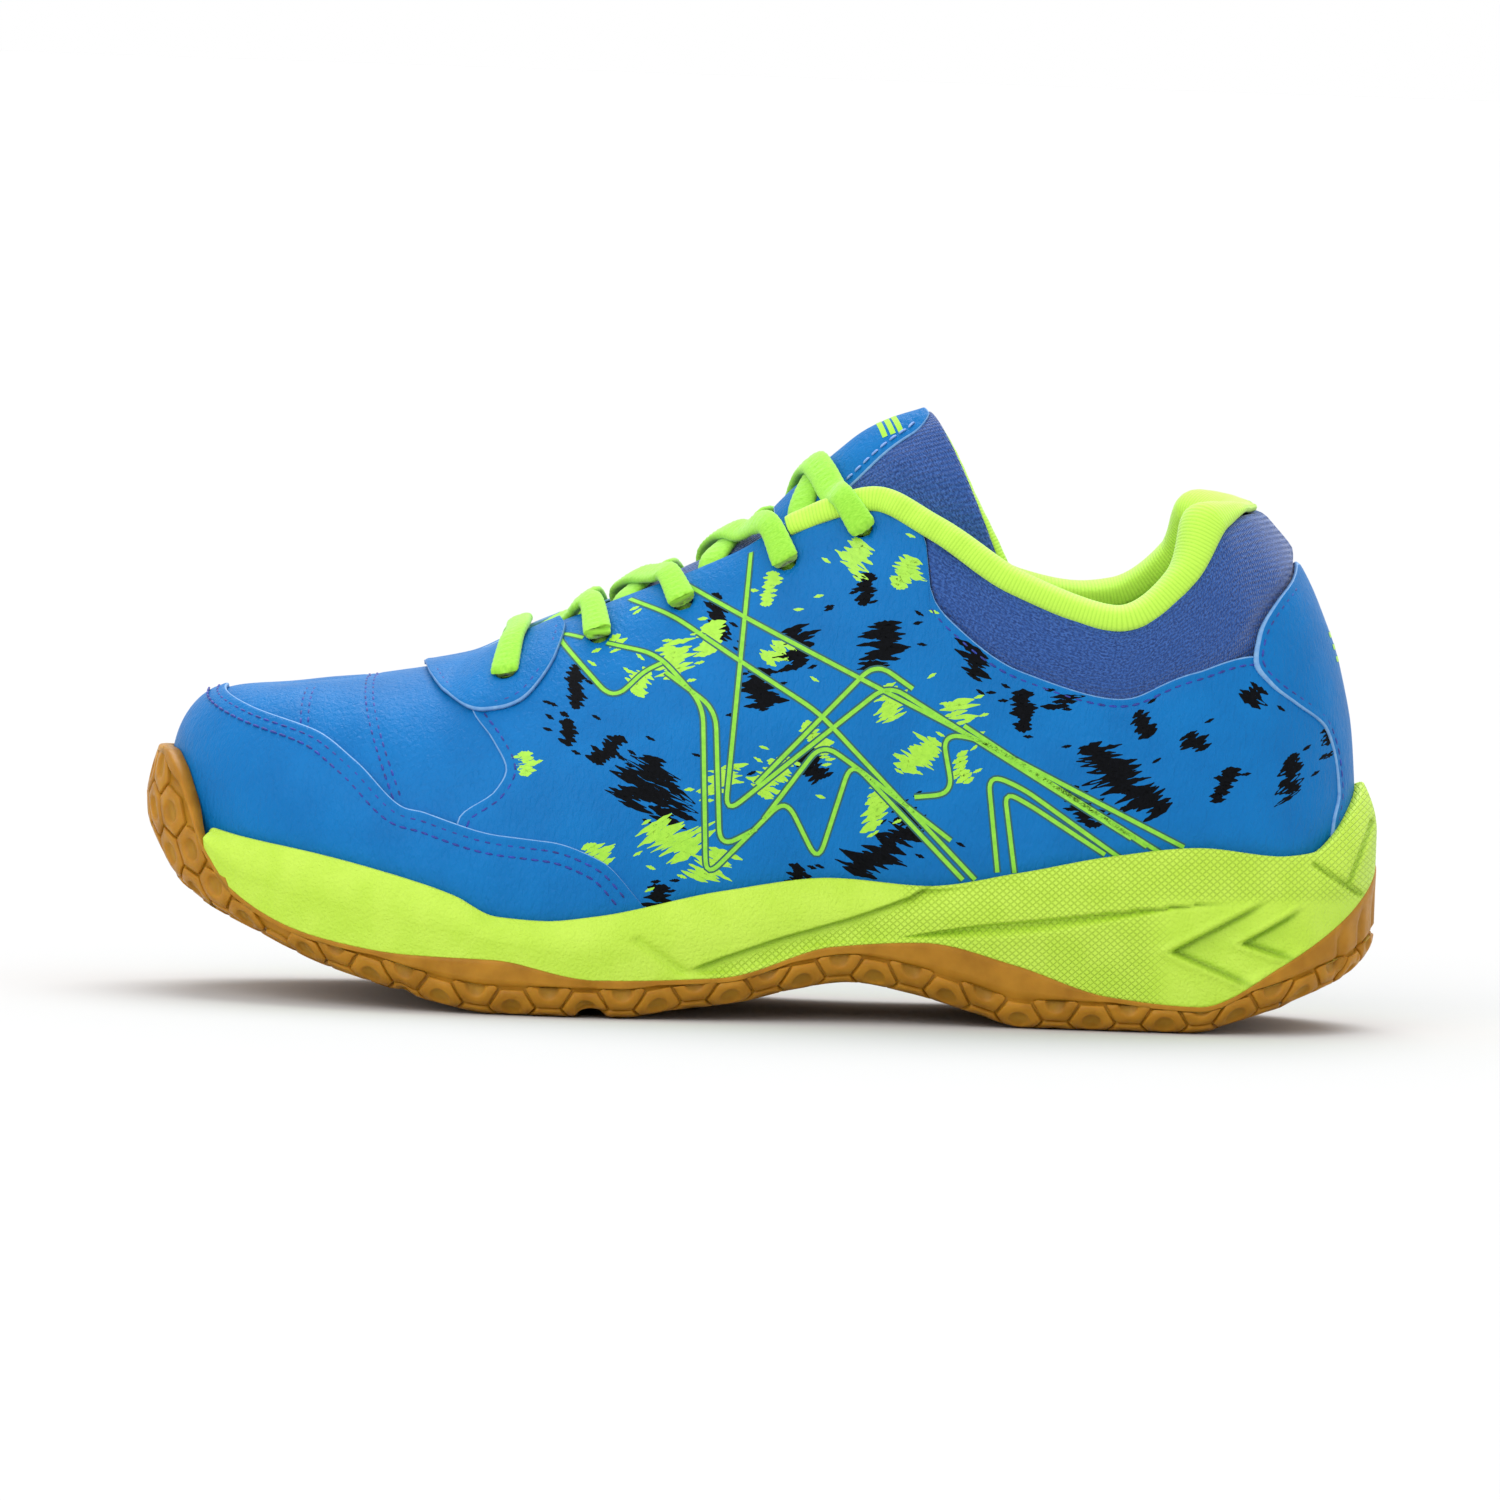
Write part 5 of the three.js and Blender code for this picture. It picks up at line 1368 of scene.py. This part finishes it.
add_tongue_piece("tongue_lining_skin", sheet([lining_patch]), [LIME_MESH], "tongue_lining")


def tongue_tape():
    """Tape over the tongue's end, tucked behind the knit at the middle and showing at the sides."""
    b = np.linspace(-1, 1, 160)
    rearward = unit(tongue_point(TONGUE_END, b) - tongue_point(TONGUE_END - 0.05, b))
    shows = smoothstep(np.abs(b), 0.55, 0.95)[:, None]
    edge = tongue_point(TONGUE_END, b) + rearward * lerp(-1.1, 0.4, shows)
    low = -tongue_depth(b) - 1.5
    high = -2.4
    half_width = 1.7 * (1 + 0.02 * np.sin(np.arange(len(b)) * 0.9))
    sections = []
    for turn in np.linspace(0, 2 * np.pi, 15)[:-1]:
        out = (low + high) / 2 + (high - low) / 2 * np.sin(turn)
        sections.append(np.stack([half_width * np.cos(turn), out], -1))
    return sweep(edge, *frames_along(edge, tongue_normal(TONGUE_END, b)), np.stack(sections, 1))


add_tongue_piece("tongue_tape", tongue_tape(), [LIME_TAPE], "tongue_binding")


# ---------------------------------------------------------------- lace

LACE_WIDTH = 7.0
LACE_WIDTH_IN_HOLE = 4.2
LACE_THICKNESS = 2.4
# How far the lace's middle stands off: inside and outside the quarters, and low and high over the tongue.
LACE_INSIDE = -4.2
LACE_OUTSIDE = 2.0
LACE_LOW = 0.2
LACE_HIGH = 2.3
# Stops of each end inside the upper, down to its tip: s, t, distance off the surface, and width.
LACE_TAIL = [(8.3, 0.8, -4.4, 5), (8, 0.7, -5.2, 6), (7.4, 0.54, -6.9, 6), (6.8, 0.48, -7.1, 4)]


def tongue_under(x, y):
    """Tongue point and normal under a point in plan."""
    a = 3.0
    b = 0.0
    for _ in range(30):
        here = tongue_point(a, b)
        per_a = (tongue_point(a + 0.01, b) - here) * 100
        per_b = (tongue_point(a, b + 0.01) - here) * 100
        det = per_a[0] * per_b[1] - per_b[0] * per_a[1]
        a += 0.7 * ((x - here[0]) * per_b[1] - per_b[0] * (y - here[1])) / det
        b += 0.7 * (per_a[0] * (y - here[1]) - per_a[1] * (x - here[0])) / det
        a = min(max(a, 0), TONGUE_END)
        b = min(max(b, -0.95), 0.95)
    return tongue_point(a, b), tongue_normal(a, b)


def on_upper(side, s, t, out, width=LACE_WIDTH):
    """A stop of the lace: its point, the way its flat side faces, and its width."""
    normal = surface_normal(side * s, t)
    return surface(side * s, t) + normal * out, normal, width


def through_eyelet(side, i):
    """Stops of the lace from the outside of an eyelet to its inside."""
    s, t = EYELETS[i]
    steps = ((LACE_OUTSIDE, 6.6), (0.9, 5.6), (-2.1, LACE_WIDTH_IN_HOLE), (LACE_INSIDE, LACE_WIDTH_IN_HOLE))
    return [on_upper(side, s, t, out, width) for out, width in steps]


def crossing(side, i, lift):
    """From the inside at one eyelet, out over the tongue, to above the next one opposite."""
    from_s = EYELETS[i][0] + 0.1
    to_s = EYELETS[i + 1][0] - 0.12
    start = surface(side * from_s, 1.0)
    end = surface(-side * to_s, 1.0)
    between = []
    for share in (0.2, 0.35, 0.5, 0.67, 0.84):
        point, normal = tongue_under(*lerp(start, end, share)[:2])
        between.append([point + normal * lift, normal, LACE_WIDTH])
    between[-1][0][2] = max(between[-1][0][2], end[2] + 0.6 * LACE_OUTSIDE)
    return [on_upper(side, from_s, 0.985, LACE_INSIDE - 0.3, 5), *between,
            on_upper(-side, to_s, 0.99, LACE_OUTSIDE, 5.8)]


def half_lace(start_side, lifts):
    """Stops of the lace from one end of the first bar to its tip."""
    stops = [on_upper(start_side, EYELETS[0][0], t, LACE_OUTSIDE + 0.7, 6.2) for t in (0.985, 0.85)]
    stops += through_eyelet(start_side, 0)
    side = start_side
    for i, lift in enumerate(lifts):
        stops += crossing(side, i, lift) + through_eyelet(-side, i + 1)
        side = -side
    return stops + [on_upper(side, *stop) for stop in LACE_TAIL]


lateral_half = half_lace(LATERAL, (LACE_LOW, LACE_HIGH) * 2)
medial_half = half_lace(MEDIAL, (LACE_HIGH, LACE_LOW) * 2)
crown_point = (lateral_half[0][0] + medial_half[0][0]) / 2 + np.array([0, 0, 0.8])
crown = (crown_point, unit(np.array([-0.4, 0, 1.0])), 6.0)
lace_stops = lateral_half[::-1] + [crown] + medial_half


def spline(values, per_stop):
    """Catmull-Rom curve through values, denser than its stops."""
    padded = np.concatenate([values[:1] * 2 - values[1:2], values, values[-1:] * 2 - values[-2:-1]])
    place = np.linspace(0, len(values) - 1, (len(values) - 1) * per_stop + 1)
    i = np.minimum(place.astype(int), len(values) - 2)
    w = (place - i)[:, None]
    return catmull_rom(*(padded[i + k] for k in range(4)), w)


def woven_lace():
    points = spline(np.array([stop[0] for stop in lace_stops]), 16)
    outs = spline(np.array([stop[1] for stop in lace_stops]), 16)
    widths = spline(np.array([[stop[2]] for stop in lace_stops], float), 16)
    length = length_along(points)
    at = np.arange(0, length[-1], 0.55)
    points, outs, widths = (resampled(values, length, at) for values in (points, outs, widths))
    turn = np.linspace(0, 2 * np.pi, 25)[:-1][None]
    rounding = np.sign(np.cos(turn)) * np.abs(np.cos(turn)) ** 0.75
    x = widths / 2 * rounding
    thick = LACE_THICKNESS / 2 * np.sqrt(LACE_WIDTH / widths) ** 1.2
    chevrons = 0.5 + 0.5 * np.cos(2 * np.pi * (at[:, None] - 1.15 * np.abs(x)) / 1.9)
    raised = 0.3 * (chevrons - 0.5) * np.sin(turn) * (1 - 0.6 * np.abs(rounding) ** 4)
    y = np.sign(np.sin(turn)) * np.abs(np.sin(turn)) ** 0.8 * thick + raised
    return sweep(points, *frames_along(points, unit(outs)), np.stack([x * (1 + 0.03 * chevrons), y], -1))


add_piece("woven_lace", woven_lace(), [LIME_BRAID], replaces=["lace"])


def aglet(stops):
    """Film-wrapped tip beyond one end of the lace."""
    forward = unit(stops[0][0] - stops[1][0])
    across = unit(np.cross(forward, [0.3, 0.2, 1.0]))
    steps = np.array([0, 0.3, 1.2, 16.5, 17.6, 18]) + 0.2
    girths = np.array([1.25, 1.5, 1.5, 1.45, 1.2, 0.5])
    turn = np.linspace(0, 2 * np.pi, 19)[:-1]
    sections = girths[:, None, None] * np.stack([np.cos(turn), np.sin(turn)], -1)[None]
    frames = [np.repeat(way[None], len(steps), 0) for way in (across, np.cross(forward, across))]
    return sweep(stops[0][0] + forward * steps[:, None], *frames, sections)


for side_name, stops in (("lateral", lace_stops[:2]), ("medial", lace_stops[-1:-3:-1])):
    add_piece(f"aglet_tip_{side_name}", aglet(stops), [FILM], replaces=[f"aglet_{side_name}"])


# ---------------------------------------------------------------- sockliner

SOCKLINER_INSET = 6.6


def bed_sheet(low, high):
    """Sheet over the sole's bed, between two heights above it, as a ring of strips round the middle line."""
    q = -np.linspace(0, 2 * HEEL, 181)[:, None]
    edge = feather_point(q) - outward(q) * SOCKLINER_INSET
    plan = lerp(spine(q), edge, np.linspace(0, 1, 16)[None, :, None])
    points = np.concatenate([plan, bed_z(plan[..., :1])], -1)
    return sheet([patch(points, plan * MM, high, low)], soften=0.25)


add_piece("sockliner_pad", bed_sheet(2.2, 6.2), [FOAM], body="sockliner", replaces=["sockliner_foam"])
add_piece("sockliner_top", bed_sheet(6.4, 7.3), [LIME_MESH], body="sockliner", replaces=["sockliner_cover"])


# ---------------------------------------------------------------- threads

upper_rows = cap_rows + vamp_rows + quarter_rows + throat_rows + heel_rows
add_piece("upper_stitches", joined([stitch_row(row) for row in upper_rows]), [THREAD])
add_piece("tongue_stitches", joined([stitch_row(row) for row in face_rows]), [PALE_THREAD], body="tongue")


# ---------------------------------------------------------------- printed pattern

RAY_START = 90  # the rays start this far to the side
LEAST_FACING = 0.12  # the print ends where the leather turns away from the side view
CORNER_RADIUS = 4.5
LINE_PITCH = 0.8


def surface_tree(piece):
    """Ray-casting tree over a piece, in millimetres."""
    vertices = [v.co / MM for v in piece.data.vertices]
    return BVHTree.FromPolygons(vertices, [list(p.vertices) for p in piece.data.polygons])


def drape(tree, side, plan):
    """Where side-view points (x, z) land on the shoe, with the normals there. Missed points are nan."""
    points = np.full((len(plan), 3), np.nan)
    normals = np.full((len(plan), 3), np.nan)
    for i, (x, z) in enumerate(plan):
        hit, normal, _, _ = tree.ray_cast(Vector((x, side * RAY_START, z)), Vector((0, -side, 0)))
        if hit is not None and normal.y * side > LEAST_FACING:
            points[i] = hit
            normals[i] = normal
    return points, normals


def rounded(stops):
    """A zig-zag's line with its corners rounded, at an even pitch."""
    stops = np.array(stops, float)
    line = [stops[0]]
    for before, corner, after in zip(stops, stops[1:], stops[2:]):
        shorter = min(np.linalg.norm(before - corner), np.linalg.norm(after - corner))
        room = min(CORNER_RADIUS, shorter * 0.48)
        into = corner + unit(before - corner) * room
        out = corner + unit(after - corner) * room
        for u in np.linspace(0, 1, 7):
            line.append((1 - u) ** 2 * into + 2 * u * (1 - u) * corner + u * u * out)
    line = np.array(line + [stops[-1]])
    length = length_along(line)
    return resampled(line, length, np.arange(0, length[-1], LINE_PITCH))


def ribbon(points, normals, width, lift):
    """Flat strip of print along draped points, broken where they are missing."""
    across = np.cross(normals, unit(np.gradient(points, axis=0)))
    left = points + across * (width / 2) + normals * lift
    right = points - across * (width / 2) + normals * lift
    good = ~np.isnan(left + right).any(1)
    step = np.linalg.norm(np.diff(points, axis=0), axis=1)
    kept = [i for i in range(len(points) - 1) if good[i] and good[i + 1] and step[i] < 2.5]
    faces = np.array([[2 * i + 1, 2 * i + 3, 2 * i + 2, 2 * i] for i in kept], int).reshape(-1, 4)
    return unmapped(np.nan_to_num(np.stack([left, right], 1).reshape(-1, 3)), faces)


# Own pattern in side view, (x, z): long slants that fan down to the rear, crossed by nested zig-zags.
STRAY_MARKS = 4
MARK_POINTS = 11
SLANTS = [[(-20, 100), (99, 43)], [(-40, 98), (-23, 93), (12, 72), (50, 34)], [(46, 70), (90, 43)]]
ZIGZAGS = [
    [(-25, 82), (-29, 80), (-36, 73), (-51, 88), (-26, 84), (-15, 73), (-13, 33), (5, 52), (13, 37), (20, 61),
     (47, 34)],
    [(-24, 80), (-12, 72), (-10, 40), (-1, 45)],
    [(-5, 108), (-9, 48), (28, 79), (86, 45)],
    [(-2, 55), (25, 84), (34, 78)],
    [(0, 47), (13, 65), (22, 59), (44, 43)],
    [(35, 53), (44, 54), (41, 68), (50, 67), (96, 40)],
    [(55, 36), (52, 59), (60, 56), (84, 40)],
    [(59, 36), (56, 55), (62, 52), (80, 41)],
]
# Bundles of brush marks in side view: x, z and size.
BLACK_CLUSTERS = [
    (-45, 76, 7), (-29, 55, 14), (-22, 50, 12), (-12, 93, 7), (-2, 77, 10), (7, 87, 10), (26, 88, 11),
    (28, 40, 13), (34, 48, 8), (48, 86, 9), (69, 78, 8), (81, 61, 13), (90, 54, 11), (123, 60, 9),
    (100, 68, 6), (114, 79, 6), (-24, 28, 8), (60, 74, 7), (74, 52, 9), (88, 72, 7), (58, 92, 6),
    (11, 60, 7), (-37, 62, 7), (8, 33, 6), (22, 101, 6), (107, 58, 6), (132, 68, 5), (-46, 66, 5),
]
LIME_CLUSTERS = [
    (-56, 58, 5), (-38, 38, 8), (-21, 42, 14), (-12, 36, 10), (-22, 83, 10), (-14, 88, 8), (20, 108, 9),
    (32, 106, 9), (29, 75, 9), (36, 63, 9), (2, 57, 9), (-30, 78, 6), (12, 66, 7), (-10, 56, 8), (45, 73, 8),
    (26, 50, 8), (-36, 88, 5), (0, 100, 6), (46, 60, 6), (2, 86, 6),
]


def sliver(random, centre, slant, length, width):
    """Ragged leaf-shaped brush mark in side view: its middle and its outline."""
    u = np.linspace(0, 1, MARK_POINTS)
    shape = np.sin(np.pi * np.clip(u, 0.03, 0.97)) ** 0.8 * width / 2
    upper = np.stack([(u - 0.5) * length, shape * random.uniform(0.6, 1.25, MARK_POINTS)], -1)
    lower = np.stack([(u - 0.5) * length, -shape * random.uniform(0.6, 1.25, MARK_POINTS)], -1)[::-1]
    spin = np.array([[math.cos(slant), math.sin(slant)], [-math.sin(slant), math.cos(slant)]])
    return centre + np.concatenate([[[0, 0]], np.concatenate([upper, lower]) @ spin])


def splatter(tree, side, clusters, seed, lift):
    """Bundles of parallel brush marks printed on the upper, frayed at both ends."""
    random = np.random.default_rng(seed)
    parts = []
    for x, z, size in clusters:
        slant = random.choice([0.55, 0.25, -0.35, -0.5, 0.1])
        spread_out = random.uniform(0.7, 1.5)
        drift = random.uniform(-0.6, 0.6)
        marks = max(4, int(size * spread_out))
        for i in range(marks + STRAY_MARKS):
            stray = i >= marks
            place = random.uniform(-0.9, 0.9) if stray else i / (marks - 1) - 0.5
            beside = place * size * spread_out * 0.8
            fill = math.sqrt(max(1 - (1.7 * beside / (size * spread_out)) ** 2, 0.15))
            length = 2.5 if stray else size * random.uniform(0.4, 1.05) * fill / math.sqrt(spread_out) + 1
            along = random.normal(0, (0.7 if stray else 0.1) * size) + drift * beside
            centre = np.array([x + along * math.cos(slant) - beside * math.sin(slant),
                               z + along * math.sin(slant) + beside * math.cos(slant)])
            turned = slant + random.normal(0, 0.09)
            outline = sliver(random, centre, turned, length, 0.8 if stray else random.uniform(1.1, 2.0))
            points, normals = drape(tree, side, outline)
            if np.isnan(points).any() or np.abs(points[:, 1] - points[0, 1]).max() > 4.5:
                continue
            fan = np.arange(1, len(points))
            nexts = np.roll(fan, -1)
            faces = np.stack([np.zeros_like(fan), fan, nexts, nexts], -1)
            faces = faces[:, ::-1] if side == MEDIAL else faces
            parts.append(unmapped(points + normals * lift, faces))
    return parts


PRINTS = {
    "print_line_shadows": LINE_SHADOW,
    "print_lines": LIME_LINE,
    "print_dark_flecks": DARK_PRINT,
    "print_lime_flecks": LIME_PRINT,
}
prints = {name: [] for name in PRINTS}
for side in SIDES.values():
    tree = surface_tree(quarters[side])
    for stops in SLANTS + ZIGZAGS:
        points, normals = drape(tree, side, rounded(stops))
        prints["print_line_shadows"].append(ribbon(points, normals, 1.75, 0.05))
        prints["print_lines"].append(ribbon(points, normals, 0.95, 0.09))
    prints["print_dark_flecks"] += splatter(tree, side, BLACK_CLUSTERS, 20 + side, 0.03)
    prints["print_lime_flecks"] += splatter(tree, side, LIME_CLUSTERS, 30 + side, 0.04)
for name, look in PRINTS.items():
    add_piece(name, joined([part for part in prints[name] if len(part[1])]), [look])


# Short plain bars stand where the tongue and the heel carry a mark.
BAR_WIDTH = 1.3
BAR_LIFT = 0.08
BAR_STEPS = 24


def bar(points, normals, skin):
    return ribbon(points + normals * (skin[:, None] + BAR_LIFT), normals, BAR_WIDTH, 0)


tongue_bars = []
for a in (5.0, 5.14, 5.28):
    b = np.linspace(-0.2, 0.2, BAR_STEPS)
    points = tongue_point(a, b)
    tongue_bars.append(bar(points, tongue_normal(a, b), tongue_face_skin(a, b, points)))
heel_bars = []
for t in (0.6, 0.63, 0.66):
    q = -np.linspace(14.72, 15.28, BAR_STEPS)
    points = surface(q, t)
    heel_bars.append(bar(points, surface_normal(q, t), heel_skin(q, t, points)))
add_piece("tongue_bars", joined(tongue_bars), [LIME_PRINT], body="tongue")
add_piece("heel_bars", joined(heel_bars), [LIME_PRINT])


# ---------------------------------------------------------------- floor, light and camera

FLOOR_HALF = 40.0
FLOOR_Z = -0.0002
FLOOR_GREY = 0.575
floor_corners = [(x * FLOOR_HALF, y * FLOOR_HALF, FLOOR_Z) for x, y in ((-1, -1), (1, -1), (1, 1), (-1, 1))]
floor_mesh = bpy.data.meshes.new("floor")
floor_mesh.from_pydata(floor_corners, [], [(0, 1, 2, 3)])
floor = bpy.data.objects.new("floor", floor_mesh)
bpy.context.scene.collection.objects.link(floor)
floor_look = Look("studio_floor", 0.9, Specular_IOR_Level=0.0)
floor_look.color((FLOOR_GREY, FLOOR_GREY, FLOOR_GREY, 1))
floor_mesh.materials.append(floor_look.material)

world = bpy.data.worlds.new("studio")
world.use_nodes = True
world.node_tree.nodes["Background"].inputs["Color"].default_value = (1, 1, 1, 1)
world.node_tree.nodes["Background"].inputs["Strength"].default_value = 1.0
bpy.context.scene.world = world
bpy.context.scene.view_settings.view_transform = "Standard"


def soft_sun(name, toward, strength, spread_angle):
    data = bpy.data.lights.new(name, "SUN")
    data.energy = strength
    data.angle = math.radians(spread_angle)
    lamp = bpy.data.objects.new(name, data)
    lamp.rotation_mode = "QUATERNION"
    lamp.rotation_quaternion = (-Vector(toward)).to_track_quat("-Z", "Y")
    bpy.context.scene.collection.objects.link(lamp)


soft_sun("key", (0.1, 0.5, 1.0), 2.1, 45)
soft_sun("fill", (-0.6, -1.2, 0.9), 1.0, 50)

# The camera looks from the lateral side, a little down and a little rolled. Lengths are in metres.
VIEW_DISTANCE = 3.0
VIEW_WIDTH = 0.3493
VIEW_TILT = math.radians(3.3)
VIEW_ROLL = math.radians(1.945)
SENSOR = 36
aim = Vector((-0.0037, -0.04, 0.063))
back = Vector((0, -math.cos(VIEW_TILT), math.sin(VIEW_TILT)))
camera_data = bpy.data.cameras.new("camera")
camera_data.sensor_width = SENSOR
camera_data.lens = SENSOR * VIEW_DISTANCE / VIEW_WIDTH
camera = bpy.data.objects.new("camera", camera_data)
camera.location = aim + back * VIEW_DISTANCE
camera.rotation_mode = "QUATERNION"
camera.rotation_quaternion = (-back).to_track_quat("-Z", "Y") @ Quaternion((0, 0, 1), VIEW_ROLL)
bpy.context.scene.collection.objects.link(camera)
bpy.context.scene.camera = camera
